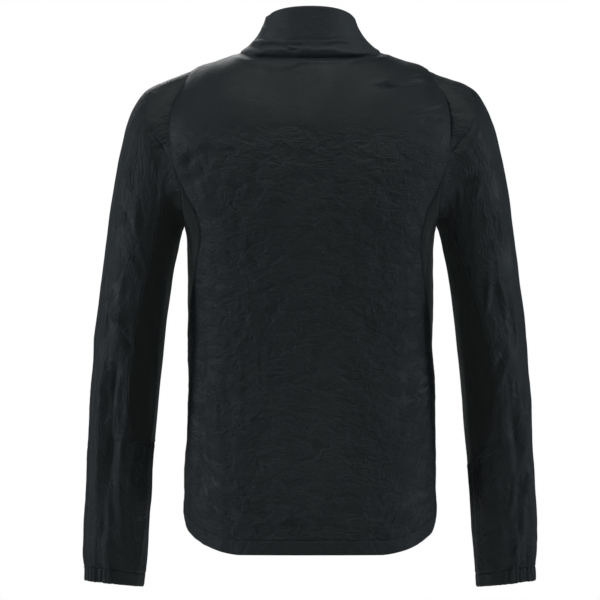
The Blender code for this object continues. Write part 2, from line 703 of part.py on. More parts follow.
def block(name, size, centre, bevel=0.0):
    """A box in the zip's own axes: across, inward and up."""
    bm = bmesh.new()
    bmesh.ops.create_cube(bm, size=1.0)
    bmesh.ops.scale(bm, vec=size, verts=bm.verts)
    bmesh.ops.translate(bm, vec=centre, verts=bm.verts)
    if bevel:
        upright = [e for e in bm.edges if abs((e.verts[0].co - e.verts[1].co).normalized().y) > 0.9]
        bmesh.ops.bevel(bm, geom=upright, offset=bevel, segments=2, affect="EDGES", profile=0.5)
    mesh = bpy.data.meshes.new(name)
    bm.to_mesh(mesh)
    bm.free()
    return mesh


def pin(name, radius, length, centre, sides=16):
    """A round bar along the hinge's axis, which is across the zip."""
    bm = bmesh.new()
    bmesh.ops.create_cone(
        bm, cap_ends=True, segments=sides, radius1=radius, radius2=radius, depth=length
    )
    bmesh.ops.rotate(bm, cent=(0, 0, 0), matrix=Matrix.Rotation(pi / 2, 3, "Y"), verts=bm.verts)
    bmesh.ops.translate(bm, vec=centre, verts=bm.verts)
    mesh = bpy.data.meshes.new(name)
    bm.to_mesh(mesh)
    bm.free()
    return mesh


def combine(base, mesh, operation):
    """Adds or cuts a helper solid, which stays in the collection of cutters."""
    helper = bpy.data.objects.new(mesh.name, mesh)
    cutters.objects.link(helper)
    helper.hide_render = True
    helper.display_type = "WIRE"
    helper.matrix_world = base.matrix_world
    change = base.modifiers.new(mesh.name, "BOOLEAN")
    change.operation = operation
    change.object = helper


def make_slider():
    """Two plates round the chain, the post that parts its teeth, and two lugs with the pull's pin."""
    outer, inner = PLATE_FACE + PLATE_WALL / 2, -PLATE_FACE - PLATE_WALL / 2
    plate = (SLIDER_WIDTH, PLATE_WALL, SLIDER_LENGTH)
    slider = add_object("zip_slider", block("slider_front", plate, (0, -outer, 0), 1.6 * MM), "enamel")
    slider.matrix_world = zip_frame(SLIDER_STATION)
    combine(slider, block("slider_rear", plate, (0, -inner, 0), 1.6 * MM), "UNION")
    post_length = SLIDER_LENGTH / 2 - POST_START - 0.4 * MM
    post = (POST_WIDTH, 2 * PLATE_FACE + PLATE_WALL, post_length)
    combine(slider, block("slider_post", post, (0, 0, POST_START + post_length / 2)), "UNION")
    foot = PLATE_FACE + PLATE_WALL / 2
    lug_height = PIN_OUT + LUG_ROUND - foot
    for side in (-1, 1):
        size = (LUG_WALL, lug_height, 2 * LUG_ROUND)
        centre = (side * LUG_OUT, -foot - lug_height / 2, PIN_UP)
        combine(slider, block(f"slider_lug_{side + 1}", size, centre), "UNION")
    length = 2 * LUG_OUT + LUG_WALL / 2
    combine(slider, pin("slider_pin", PIN_RADIUS, length, (0, -PIN_OUT, PIN_UP)), "UNION")


def pull_axis():
    """The middle of the pull's pin."""
    return zip_frame(SLIDER_STATION) @ Vector((0, -PIN_OUT, PIN_UP))


def make_pull():
    """A flat tab that hangs straight down from the pin; its origin is on the pin's axis."""
    eye_width = 2 * LUG_OUT - LUG_WALL - 2 * PULL_PLAY
    neck = (eye_width, PULL_WALL, PULL_NECK + EYE_ROUND)
    pull = add_object("zip_pull", pin("pull_eye", EYE_ROUND, eye_width, (0, 0, 0), 20), "enamel")
    pull.location = pull_axis()
    bpy.context.view_layer.update()
    combine(pull, block("pull_neck", neck, (0, 0, -(PULL_NECK + EYE_ROUND) / 2)), "UNION")
    tab = (PULL_WIDTH, PULL_WALL, PULL_LENGTH - PULL_NECK)
    centre = (0, 0, -(PULL_LENGTH + PULL_NECK) / 2)
    combine(pull, block("pull_tab", tab, centre, 1.8 * MM), "UNION")
    hole = PIN_RADIUS + PULL_PLAY
    combine(pull, pin("pull_bore", hole, 2 * eye_width, (0, 0, 0), 20), "DIFFERENCE")


def make_zip():
    """A closed zip up the whole front: two tapes behind the cloth, a row of teeth, its ends and slider."""
    for side, name in ((+1, "zip_tape_left"), (-1, "zip_tape_right")):
        strip(name, TAPE_INNER, TAPE_OUTER, TAPE_INSET, TAPE_WALL, "tape", side)
    chain_inset = TAPE_INSET + TAPE_WALL / 2 - CHAIN_THICKNESS / 2
    strip(
        "zip_teeth", 0.0, CHAIN_HALF_WIDTH, chain_inset, CHAIN_THICKNESS, "moulded",
        first=1, last=SLIDER_STATION + 1,
    )
    box_size = (2 * CHAIN_HALF_WIDTH, BOX_WALL, BOX_LENGTH)
    box = add_object("zip_bottom_box", block("zip_bottom_box", box_size, (0, 0, BOX_LENGTH / 2)), "moulded")
    box.matrix_world = zip_frame(0)
    up = SLIDER_LENGTH / 2 + PULL_PLAY + STOP_SIZE / 2
    for side, name in ((+1, "zip_stop_left"), (-1, "zip_stop_right")):
        centre = (side * (STOP_PLAY + STOP_WIDTH / 2), 0, up)
        stop = add_object(name, block(name, (STOP_WIDTH, STOP_SIZE, STOP_SIZE), centre), "moulded")
        stop.matrix_world = zip_frame(SLIDER_STATION)
    make_slider()
    make_pull()


# ------------------------------------------------------------------ scene

for stale in list(bpy.data.objects):
    bpy.data.objects.remove(stale, do_unlink=True)

parts = bpy.data.collections.new("windbreaker")
cutters = bpy.data.collections.new("windbreaker_cutters")
bpy.context.scene.collection.children.link(parts)
bpy.context.scene.collection.children.link(cutters)

make_back()
make_front(+1, "front_left")
make_front(-1, "front_right")
make_side_panel(+1, "side_left")
make_side_panel(-1, "side_right")
make_hem_band()
make_collar()
make_sleeve(+1, "left")
make_sleeve(-1, "right")
make_zip()
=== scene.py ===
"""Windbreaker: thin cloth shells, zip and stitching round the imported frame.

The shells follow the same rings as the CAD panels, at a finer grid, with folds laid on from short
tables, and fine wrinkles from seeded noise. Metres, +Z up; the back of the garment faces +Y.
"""

import json
from math import pi, radians
from types import SimpleNamespace

import bmesh
import bpy
import numpy as np
from mathutils import Matrix, Vector
from mathutils.kdtree import KDTree


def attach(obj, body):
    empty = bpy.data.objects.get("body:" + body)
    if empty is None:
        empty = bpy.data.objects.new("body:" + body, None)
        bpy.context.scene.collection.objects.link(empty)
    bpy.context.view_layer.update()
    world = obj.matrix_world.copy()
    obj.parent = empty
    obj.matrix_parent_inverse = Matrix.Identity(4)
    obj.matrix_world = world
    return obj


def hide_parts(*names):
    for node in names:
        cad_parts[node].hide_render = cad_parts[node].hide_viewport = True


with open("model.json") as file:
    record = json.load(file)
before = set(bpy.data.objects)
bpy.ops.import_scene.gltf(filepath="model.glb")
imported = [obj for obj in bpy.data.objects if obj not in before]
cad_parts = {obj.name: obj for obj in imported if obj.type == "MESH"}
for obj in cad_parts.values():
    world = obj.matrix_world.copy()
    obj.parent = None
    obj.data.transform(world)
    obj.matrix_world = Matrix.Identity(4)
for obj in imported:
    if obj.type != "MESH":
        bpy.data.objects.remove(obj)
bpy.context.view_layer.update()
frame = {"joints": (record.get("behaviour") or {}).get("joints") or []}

MM = 0.001

# ------------------------------------------------------------------ camera

CAMERA_DISTANCE = 12.0
CAMERA_LENS = 519.9
CAMERA_X, CAMERA_Z = 0.0145, -0.3435

camera_data = bpy.data.cameras.new("camera")
camera_data.lens = CAMERA_LENS
camera_data.clip_end = 100.0
camera = bpy.data.objects.new("camera", camera_data)
camera.location = (CAMERA_X, CAMERA_DISTANCE, CAMERA_Z)
camera.rotation_euler = (pi / 2, 0, pi)
bpy.context.scene.collection.objects.link(camera)
bpy.context.scene.camera = camera


# ------------------------------------------------------------------ tables of the form


def table(names, *rows):
    """A smooth function from the first column to the others, which names lists. It takes arrays."""
    values = np.array(rows, float)
    keys, columns = values[:, 0], values[:, 1:]
    before = np.maximum(np.arange(len(keys)) - 1, 0)
    after = np.minimum(np.arange(len(keys)) + 1, len(keys) - 1)
    slopes = (columns[after] - columns[before]) / (keys[after] - keys[before])[:, None]

    def look_up(key):
        key = np.clip(np.asarray(key, float), keys[0], keys[-1])
        i = np.clip(np.searchsorted(keys, key, side="right") - 1, 0, len(keys) - 2)
        span = keys[i + 1] - keys[i]
        u = (key - keys[i]) / span
        found = {}
        for column, name in enumerate(names.split()[1:]):
            a, b = columns[i, column], columns[i + 1, column]
            m, n = slopes[i, column] * span, slopes[i + 1, column] * span
            found[name] = (2 * a + m - 2 * b + n) * u**3 + (3 * b - 3 * a - 2 * m - n) * u**2 + m * u + a
        return SimpleNamespace(**found)

    return look_up


HEM_ROW, BAND_ROW, ARMPIT_ROW, SHOULDER_ROW, NECK_ROW = 0.0, 0.195, 4.5, 6.6, 7.3
HEM_RISE, HEM_CORNER, HEM_RISE_ENDS_ROW = 51.0, 60.0, 3.6
SHOULDER_SEAM = -10.0
SIDE_PANEL_TURN = 75.0
SIDE_PANEL_BENDS_ROW = 3.2
MITRE_CELL, BACK_CELLS, MITRE_SLANT = 6, 16, 4.0
ZIP_HALF_OPENING = 6.0

TORSO = table(
    "row   side_z  back_z  front_z  back_w  front_w  back_y  front_y  square",
    (0.0, -694.0, -694.0, -694.0, 175.6, 175.6, 112, 112, 2.4),
    (1.0, -594.0, -594.0, -594.0, 172.6, 172.6, 108, 112, 2.4),
    (2.0, -494.0, -494.0, -494.0, 170.6, 170.6, 100, 112, 2.4),
    (2.6, -434.0, -434.0, -434.0, 169.8, 169.8, 98, 113, 2.45),
    (3.3, -364.0, -364.0, -364.0, 169.4, 169.4, 102, 117, 2.5),
    (4.0, -294.0, -294.0, -294.0, 170.6, 170.6, 109, 121, 2.65),
    (4.5, -244.0, -246.0, -246.0, 174.5, 174.5, 113, 123, 2.8),
    (5.0, -194.0, -201.0, -206.0, 204.0, 188.0, 115, 122, 2.55),
    (5.5, -142.0, -153.0, -178.0, 224.0, 196.0, 114, 118, 2.3),
    (6.0, -88.0, -106.0, -152.0, 214.0, 190.0, 107, 112, 2.2),
    (6.3, -58.0, -81.0, -139.0, 194.0, 180.0, 99, 108, 2.15),
    (6.6, -27.0, -58.0, -124.0, 163.0, 163.0, 89, 102, 2.1),
    (7.0, -11.0, -28.0, -101.0, 126.0, 126.0, 73, 93, 2.1),
    (7.3, -1.0, -10.0, -85.0, 99.0, 99.0, 60, 86, 2.1),
)
ARMHOLE_EDGE = table(
    "row  back_x  front_x",
    (4.5, 174.5, 174.5),
    (5.0, 177.5, 168.5),
    (5.3, 181.5, 165.0),
    (5.6, 185.5, 163.0),
    (5.9, 186.0, 162.0),
    (6.2, 181.5, 162.0),
    (6.45, 170.5, 162.5),
    (6.6, 163.0, 163.0),
)
SIDE_SEAM = table(
    "row  left_back  right_back  front",
    (0.0, -9.0, -9.0, -33.0),
    (1.0, -6.5, -4.0, -33.0),
    (2.0, -3.0, 2.0, -32.0),
    (2.6, 1.0, 8.5, -31.0),
    (3.3, 11.0, 17.5, -31.0),
    (4.0, 26.0, 29.5, -32.0),
    (4.5, 34.5, 34.0, -33.0),
    (4.8, 37.5, 37.0, -33.0),
)
COLLAR = table(
    "row  side_z  back_z  front_z  back_w  front_w  back_y  front_y  square",
    (0.0, -1.0, -10.0, -85.0, 99.0, 99.0, 60, 86, 2.1),
    (0.15, 5.0, 0.0, -76.0, 89.5, 89.5, 56, 84.5, 2.1),
    (0.4, 17.0, 18.0, -55.0, 77.0, 77.0, 54, 84, 2.15),
    (0.7, 31.0, 40.0, -31.0, 67.6, 67.6, 53, 85, 2.2),
    (1.0, 44.0, 62.3, -8.0, 61.8, 61.8, 52, 86, 2.25),
)
SLEEVE_OUTER = table(
    "drop  x",
    (27.0, 163.0),
    (33.5, 181.4),
    (44.3, 211.0),
    (55.4, 228.8),
    (77.6, 244.2),
    (99.7, 253.3),
    (121.9, 259.7),
    (166.2, 269.1),
    (210.5, 276.2),
    (254.8, 282.1),
    (324.0, 290.4),
    (390.6, 297.6),
    (457.0, 302.9),
    (523.5, 306.9),
    (590.0, 310.0),
    (656.5, 312.8),
    (732.6, 312.3),
)
SLEEVE_INNER = table(
    "drop  x",
    (244.0, 174.5),
    (247.0, 176.9),
    (254.8, 178.8),
    (266.0, 181.2),
    (291.0, 186.6),
    (324.0, 192.5),
    (357.0, 197.0),
    (390.6, 200.7),
    (457.0, 207.6),
    (523.5, 213.9),
    (590.0, 219.4),
    (656.5, 224.1),
    (689.7, 227.0),
    (741.0, 232.0),
)
SLEEVE = table(
    "along  outer_drop  inner_drop  half_depth  middle_y",
    (0.0, 27.0, 244.0, 74.0, 0.0),
    (0.3, 33.5, 246.5, 71.0, 0.0),
    (0.6, 43.5, 249.5, 68.0, 0.0),
    (0.9, 57.0, 253.0, 65.5, 0.5),
    (1.2, 80.0, 257.5, 63.5, 1.0),
    (1.5, 112.0, 263.0, 62.0, 1.5),
    (1.9, 158.0, 272.0, 61.0, 2.0),
    (2.4, 215.0, 287.0, 60.5, 3.0),
    (3.0, 283.0, 312.0, 59.5, 4.0),
    (3.6, 345.0, 355.0, 58.0, 5.0),
    (4.5, 434.0, 443.0, 55.0, 5.0),
    (5.5, 533.0, 542.0, 50.0, -1.0),
    (6.5, 633.0, 642.0, 44.5, -12.0),
    (7.25, 708.0, 717.0, 40.5, -20.0),
    (7.42, 724.0, 733.0, 39.0, -22.0),
    (7.5, 732.6, 741.0, 38.5, -23.0),
)
SLEEVE_SQUARE, ARMHOLE_FADE = 2.15, 2.2
CUFF_ALONG, CUFF_END = 7.31, 7.5
UNDER_SLEEVE_END = {+1: 5.5, -1: 5.78}
UNDER_SEAM = table(
    "along  left_back  right_back  front",
    (0.0, 60.0, 30.0, 45.0),
    (1.2, 66.0, 42.0, 52.0),
    (2.4, 71.0, 53.0, 60.0),
    (3.0, 74.0, 64.0, 66.0),
    (3.6, 79.5, 75.0, 72.0),
    (4.2, 85.0, 86.0, 75.0),
    (4.7, 85.5, 88.0, 73.0),
    (5.1, 81.0, 83.0, 66.0),
    (5.5, 74.0, 64.0, 50.0),
    (5.78, 68.0, 24.0, 22.0),
    (6.6, 50.0, 26.0, 30.0),
    (7.5, 50.0, 30.0, 45.0),
)


# ------------------------------------------------------------------ forms, in millimetres


def cosd(angle):
    return np.cos(np.radians(angle))


def sind(angle):
    return np.sin(np.radians(angle))


def signed_power(value, power):
    return np.abs(value) ** power * np.sign(value)


def smooth(value, low, high):
    share = np.clip((value - low) / (high - low), 0.0, 1.0)
    return share * share * (3 - 2 * share)


def ring_points(ring, angle, lift=0.0):
    across, behind = cosd(angle), sind(angle)
    power = 2 / ring.square
    width = ring.front_w + (ring.back_w - ring.front_w) * smooth(behind, -0.3, 0.3)
    depth = np.where(behind >= 0, ring.back_y, ring.front_y)
    height = ring.side_z + (ring.back_z - ring.side_z) * behind
    dip = (ring.front_z + ring.back_z - 2 * ring.side_z) * behind * behind
    height = height + np.where(behind < 0, dip, 0.0) + lift
    return np.stack([width * signed_power(across, power), depth * signed_power(behind, power), height], -1)


def hem_lift(angle, row):
    from_side = np.degrees(np.arcsin(np.clip(sind(angle), -1, 1)))
    climb = np.clip((HEM_CORNER - from_side) / HEM_CORNER, 0.0, 1.08)
    left = np.clip(1 - (row - BAND_ROW) / (HEM_RISE_ENDS_ROW - BAND_ROW), 0.0, 1.0)
    return HEM_RISE * climb**1.45 * left * left * (3 - 2 * left)


def torso(angle, row):
    return ring_points(TORSO(row), angle, hem_lift(angle, row))


def collar(angle, row):
    return ring_points(COLLAR(row), angle)


def angle_at(width, ring_width, square):
    return np.degrees(np.arccos(np.minimum(1.0, width / ring_width) ** (square / 2)))


def armhole_row(turn):
    return ARMPIT_ROW + (SHOULDER_ROW - ARMPIT_ROW) * (1 - cosd(turn)) / 2


def armhole_turn(row):
    share = np.clip((row - ARMPIT_ROW) / (SHOULDER_ROW - ARMPIT_ROW), 0, 1)
    return np.degrees(np.arccos(1 - 2 * share))


def armhole_angle(turn):
    row = armhole_row(turn)
    ring, edge = TORSO(row), ARMHOLE_EDGE(row)
    share = np.clip((row - ARMPIT_ROW) / (SHOULDER_ROW - ARMPIT_ROW), 0.0, 1.0)
    behind = angle_at(edge.back_x, ring.back_w, ring.square)
    ahead = -angle_at(edge.front_x, ring.front_w, ring.square)
    return SHOULDER_SEAM * share * share + np.where(sind(turn) >= 0, behind, ahead)


def on_side(angle, side):
    return angle if side > 0 else 180 - angle


SIDE_TOP_ROW = float(armhole_row(SIDE_PANEL_TURN))


def side_seam(row, side, back):
    seam = SIDE_SEAM(row)
    angle = (seam.left_back if side > 0 else seam.right_back) if back else seam.front
    end = armhole_angle(SIDE_PANEL_TURN if back else -SIDE_PANEL_TURN)
    share = np.clip((row - 4.8) / (SIDE_TOP_ROW - 4.8), 0, 1)
    return angle + (end - angle) * share


def panel_edge(row, side, back):
    """Degrees from the side of the outer edge of the back or a front."""
    turn = armhole_turn(row)
    above = np.where(row >= SHOULDER_ROW, SHOULDER_SEAM, armhole_angle(turn if back else -turn))
    return np.where(row <= SIDE_TOP_ROW, side_seam(row, side, back), above)


def zip_edge_angle(ring):
    return -np.degrees(np.arccos((ZIP_HALF_OPENING / ring.front_w) ** (ring.square / 2)))


def sleeve(turn, along, side):
    ring = SLEEVE(along)
    outer = np.stack([SLEEVE_OUTER(ring.outer_drop).x, 0 * along, -ring.outer_drop], -1)
    inner = np.stack([SLEEVE_INNER(ring.inner_drop).x, 0 * along, -ring.inner_drop], -1)
    fade = np.maximum(0.0, 1 - along / ARMHOLE_FADE) ** 2
    square = 2 + (SLEEVE_SQUARE - 2) * (1 - fade)
    across = signed_power(cosd(turn), 2 / square)[..., None]
    behind = signed_power(sind(turn), 2 / square)
    point = (outer + inner) / 2 + (inner - outer) / 2 * across
    point[..., 1] += ring.middle_y + ring.half_depth * behind
    start = SLEEVE(0.0)
    top = np.array([SLEEVE_OUTER(start.outer_drop).x, 0, -start.outer_drop], float)
    low = np.array([SLEEVE_INNER(start.inner_drop).x, 0, -start.inner_drop], float)
    plain = (top + low) / 2 + (low - top) / 2 * cosd(turn)[..., None]
    plain[..., 1] += start.middle_y + start.half_depth * sind(turn)
    armhole = torso(armhole_angle(turn), armhole_row(turn))
    point = point + (armhole - plain) * fade[..., None]
    point[..., 0] *= side
    return point


# ------------------------------------------------------------------ noise and folds


def hash_corner(i, j, seed):
    value = (i * 374761393 + j * 668265263 + seed * 2147483629) & 0xFFFFFFFF
    value = ((value ^ (value >> 13)) * 1274126177) & 0xFFFFFFFF
    return (value ^ (value >> 16)) / 0xFFFFFFFF


def noise(u, v, seed):
    """Smooth noise of the plane, about -1 to 1, with features one unit across."""
    i, j = np.floor(u).astype(np.int64), np.floor(v).astype(np.int64)
    a, b = u - i, v - j
    total = np.zeros(np.shape(u))
    fade_a, fade_b = a**3 * (a * (6 * a - 15) + 10), b**3 * (b * (6 * b - 15) + 10)
    for di in (0, 1):
        for dj in (0, 1):
            turn = 2 * pi * hash_corner(i + di, j + dj, seed)
            slope = np.cos(turn) * (a - di) + np.sin(turn) * (b - dj)
            weight = (fade_a if di else 1 - fade_a) * (fade_b if dj else 1 - fade_b)
            total += slope * weight
    return total * 1.5


def ridged(u, v, seed):
    """Noise of thin crests, 0 to 1."""
    return np.clip(1 - np.abs(noise(u, v, seed)) * 2.2, 0, 1) ** 1.5


FOLD_WIDTH = 0.85  # width that the folds are made with, as a share of the tables' widths
BEND_PIECES = 8  # straight pieces between two points of a fold
FOLD_REACH = 3.2  # a fold is left out further away than this many widths
NARROW_FOLD = 12  # folds narrower than this vary in width, in mm


def folds(*rows):
    """Folds drawn as seen from behind, in mm. Columns: height, width, then points as across, drop."""
    return [(row[0], FOLD_WIDTH * row[1], np.array(row[2:], float).reshape(-1, 2)) for row in rows]


def bend(points):
    """A smooth line through the points."""
    if len(points) < 3:
        return points[0] + (points[-1] - points[0]) * np.linspace(0, 1, BEND_PIECES + 1)[:, None]
    padded = np.vstack([2 * points[0] - points[1], points, 2 * points[-1] - points[-2]])
    line = []
    for k in range(len(points) - 1):
        a, b, c, d = padded[k : k + 4]
        square, cube = 2 * a - 5 * b + 4 * c - d, 3 * b - a - 3 * c + d
        for t in np.arange(BEND_PIECES) / BEND_PIECES:
            line.append(0.5 * (2 * b + (c - a) * t + square * t**2 + cube * t**3))
    return np.array(line + [points[-1]])


def fold_height(across, drop, drawn):
    """The summed height of drawn folds at points, in mm."""
    drift = []
    for k in range(2):
        wander = 2.0 * noise(across / 30, drop / 42, 91 + k)
        drift.append(wander + 0.5 * noise(across / 10, drop / 14, 95 + k))
    flat = np.stack([(across + drift[0]).ravel(), (drop + drift[1]).ravel()], -1)
    uneven = np.clip(1.0 + 0.6 * noise(across / 30, drop / 48, 87), 0.4, 1.6).ravel()
    pinch = np.clip(1.0 + 0.45 * noise(across / 28, drop / 40, 89), 0.6, 1.5).ravel()
    total = np.zeros(len(flat))
    for height, width, points in drawn:
        line = bend(points)
        low, high = line.min(0) - FOLD_REACH * width, line.max(0) + FOLD_REACH * width
        near = np.flatnonzero(((flat > low) & (flat < high)).all(1))
        if not len(near):
            continue
        best, share = nearest_on(line, flat[near])
        ends = np.minimum(1, np.minimum(share, 1 - share) / 0.3)
        tapered = (0.25 + 0.75 * ends * (2 - ends)) * np.minimum(1, ends + 0.35)
        spread_out = width * (pinch[near] if width < NARROW_FOLD else 1.0)
        total[near] += height * tapered * np.exp(-((best / spread_out) ** 2)) * uneven[near]
    return total.reshape(across.shape)


def nearest_on(line, spots):
    """Each spot's distance to the line, and the share of the line's length where that is."""
    lengths = np.linalg.norm(np.diff(line, axis=0), axis=1)
    starts = np.concatenate([[0], np.cumsum(lengths)])
    best, where = np.full(len(spots), 1e9), np.zeros(len(spots))
    for k in range(len(line) - 1):
        step = line[k + 1] - line[k]
        t = np.clip(((spots - line[k]) @ step) / max(step @ step, 1e-9), 0, 1)
        gap = np.linalg.norm(spots - line[k] - t[:, None] * step, axis=1)
        nearer = gap < best
        best = np.where(nearer, gap, best)
        where = np.where(nearer, starts[k] + t * lengths[k], where)
    return best, where / starts[-1]


BACK_FOLDS = folds(
    # height, width, points
    # right shoulder
    (2.3, 4.2, -163, 36, -124, 39, -85, 43),
    (-3.0, 2.8, -167, 42, -126, 47, -87, 51),
    (-2.6, 3.0, -184, 79, -160, 84, -131, 91),
    (1.4, 3.5, -184, 73, -160, 78, -135, 84),
    (-2.6, 3.2, -185, 93, -170, 95, -150, 100),
    (1.0, 3.5, -185, 87, -172, 89, -160, 93),
    (0.9, 6, -117, 126, -150, 129, -179, 136),
    # left shoulder blade
    (-1.6, 3.0, 152, 104, 140, 113, 125, 126),
    (0.6, 3.4, 132, 122, 120, 128, 108, 130),
    (-1.3, 3, 130, 130, 118, 135, 106, 136),
    (1.4, 15, 172, 112, 150, 124, 128, 134),
    (-6.5, 17, 170, 140, 160, 158, 146, 180),
    (1.9, 5, 176, 122, 160, 130, 144, 150),
    (-2.2, 3, 160, 150, 150, 162, 144, 176),
    (1.4, 3, 156, 160, 146, 170, 136, 178),
    (1.8, 5, 158, 176, 150, 190, 140, 206),
    (1.4, 6, 140, 140, 128, 152, 118, 160),
    (-2.2, 18, -78, 232, -96, 262, -84, 296),
    (1.6, 16, -60, 206, -84, 212, -112, 226),
    # below the neck
    (1.5, 5, 109, 8, 84, 15, 42, 21, 19, 19, 1, 14),
    (1.5, 5, -41, 21, -62, 15, -82, 11, -103, 8, -124, 17),
    # middle of the back
    (0.9, 4, 19, 139, -2, 138, -27, 145, -45, 157),
    (0.8, 4, -13, 127, -38, 134, -52, 134),
    (1.1, 5, -52, 157, -87, 163, -100, 187),
    (1.0, 5, 26, 240, 12, 262, -14, 278, -27, 285),
    (0.8, 4, -75, 200, -98, 206, -112, 221),
    (0.8, 5, 60, 196, 36, 204, 10, 202),
    (-0.8, 6, -30, 320, -52, 326, -70, 340),
    (0.9, 5, 40, 330, 14, 342, -4, 338),
    (0.8, 5, -40, 414, -62, 420, -80, 412),
    (0.8, 5, 68, 440, 40, 449, 20, 444),
    # small folds above the hem
    (1.6, 4, 51, 652, 28, 644, 14, 650, 1, 641),
    (-1.0, 4, 46, 660, 24, 652, 8, 657),
    (0.9, 4, 96, 646, 70, 654, 52, 653),
    (0.8, 4, -66, 655, -92, 648, -110, 651),
    # soft folds down the sides
    (2.0, 3.2, 97, 405, 96, 480, 98, 565),
    (-1.4, 6, 110, 400, 112, 480, 112, 600),
    (2.6, 9, 160, 400, 164, 520, 158, 650),
    (-2.4, 8, 144, 392, 147, 520, 141, 650),
    (1.0, 9, 128, 430, 130, 540, 124, 640),
    (2.6, 9, -161, 372, -166, 510, -160, 642),
    (-2.4, 8, -147, 400, -150, 520, -146, 640),
    (1.0, 9, -131, 440, -134, 540, -128, 640),
    (1.3, 6, -150, 215, -160, 262, -162, 300),
)
FRONT_FOLDS = folds(
    # height, width, points
    (1.8, 7, 160, 70, 120, 95, 84, 128),
    (-1.6, 6, 162, 84, 126, 108, 92, 140),
    (1.6, 6, 150, 200, 118, 190, 92, 196),
    (1.3, 7, 146, 232, 110, 236, 80, 226),
    (2.0, 9, 120, 300, 124, 420, 116, 560),
    (-1.8, 8, 100, 330, 104, 450, 98, 590),
    (1.6, 9, 60, 260, 64, 400, 56, 560),
    (1.4, 7, 40, 160, 66, 250, 70, 330),
    (1.7, 7, -158, 66, -122, 98, -88, 122),
    (-1.5, 6, -160, 82, -124, 112, -96, 138),
    (1.5, 6, -152, 214, -120, 202, -90, 210),
    (1.8, 9, -124, 320, -128, 430, -118, 600),
    (-1.7, 8, -104, 300, -108, 440, -100, 560),
    (1.5, 9, -58, 300, -66, 420, -60, 600),
    (1.2, 6, -36, 180, -60, 238, -74, 300),
    (1.3, 5, 120, 640, 84, 628, 50, 634),
    (1.2, 5, -110, 632, -80, 641, -44, 630),
)
LEFT_ARM_FOLDS = folds(
    # height, width, points
    (-2.2, 2.4, 222, 107, 207, 130, 190, 159),
    (-1.6, 9, 212, 126, 200, 146, 190, 168),
    (1.2, 9, 236, 110, 222, 140, 212, 176),
    (2.4, 3.6, 242, 210, 237, 273, 226, 294),
    (2.6, 3.6, 258, 273, 244, 296, 230, 320),
    (1.3, 5, 234, 276, 224, 316, 216, 348),
    (3.6, 3.6, 277, 353, 264, 376, 249, 402),
    (-2.6, 6, 270, 366, 256, 392, 244, 420),
    (4.2, 6.5, 281, 343, 288, 454, 292, 565, 300, 648),
    (-3.6, 7, 268, 400, 274, 520, 280, 620),
    (2.6, 6, 252, 470, 262, 560, 266, 650),
    (1.5, 8, 255, 150, 262, 200, 258, 250),
    (1.4, 6, 245, 560, 252, 610, 250, 660),
    (1.8, 6, 296, 640, 286, 672, 276, 700),
    (1.4, 5, 270, 650, 262, 684, 262, 706),
)
RIGHT_ARM_FOLDS = folds(
    # height, width, points
    (-2.8, 3.4, -228, 96, -208, 122, -189, 148),
    (1.3, 8, -236, 104, -218, 130, -200, 156),
    (-3.0, 8, -233, 175, -214, 184, -193, 191),
    (2.2, 5, -239, 166, -234, 186, -228, 206),
    (2.8, 4, -249, 302, -244, 336, -240, 368),
    (2.6, 4, -262, 317, -267, 342, -271, 368),
    (3.6, 4.4, -278, 410, -266, 442, -255, 475),
    (-1.7, 7, -270, 408, -256, 440, -246, 470),
    (3.4, 5.5, -296, 450, -298, 515, -294, 575),
    (2.8, 4, -289, 562, -282, 600, -277, 640),
    (3.0, 5, -303, 560, -297, 620, -292, 675),
    (-3.4, 7, -278, 480, -284, 560, -286, 630),
    (1.4, 8, -250, 200, -262, 240, -264, 280),
    (1.6, 6, -298, 648, -288, 680, -280, 704),
    (1.3, 5, -266, 660, -262, 690, -264, 708),
)
ARM_FRONT_FOLDS = folds(
    # height, width, points
    (1.8, 7, 246, 110, 226, 150, 200, 190),
    (-1.6, 6, 254, 130, 236, 168, 214, 206),
    (1.7, 7, 266, 250, 240, 282, 212, 300),
    (-1.8, 7, 272, 300, 246, 330, 214, 338),
    (2.2, 7, 280, 352, 250, 372, 214, 372),
    (1.8, 6, 284, 398, 256, 404, 220, 396),
    (1.5, 8, 290, 440, 286, 520, 290, 600),
    (-1.4, 8, 268, 450, 266, 540, 272, 620),
    (1.3, 8, 246, 470, 248, 560, 252, 640),
    (1.4, 6, 294, 640, 280, 680, 272, 704),
)
COLLAR_FOLDS = folds(
    # height, width, points
    (1.5, 3.2, 86, -13, 66, -14, 46, -12, 24, -5),
    (-3.0, 2.3, 82, -8, 62, -9, 42, -7, 28, -2, 12, 0),
    (-1.6, 2.2, 36, -8, 18, -8, 6, -8),
    (1.0, 3.0, 70, -1, 50, -2, 34, 1),
    (1.1, 4, 70, -54, 55, -42, 38, -29),
    (-1.0, 3, 62, -55, 48, -44, 34, -33),
    (0.9, 4, 70, -36, 60, -28, 46, -18),
    (0.7, 5, -52, -30, -40, -22, -20, -18),
    (1.0, 3, -60, -12, -40, -14, -14, -11),
    (-0.8, 3, -64, -8, -42, -10, -16, -7),
)


# ------------------------------------------------------------------ shells of cloth


def dense_ends(first, last, cells, crowd):
    """Steps from first to last, closer together near both ends, where the seams lie."""
    s = np.linspace(0, 1, cells + 1)
    return first + (last - first) * (s - crowd * np.sin(2 * pi * s) / (2 * pi))


def grid_normals(points, closed, flip):
    along = np.gradient(points, axis=0)
    if closed:
        across = np.roll(points, -1, 1) - np.roll(points, 1, 1)
    else:
        across = np.gradient(points, axis=1)
    normals = np.cross(across, along)
    normals /= np.maximum(np.linalg.norm(normals, axis=-1, keepdims=True), 1e-9)
    return -normals if flip else normals


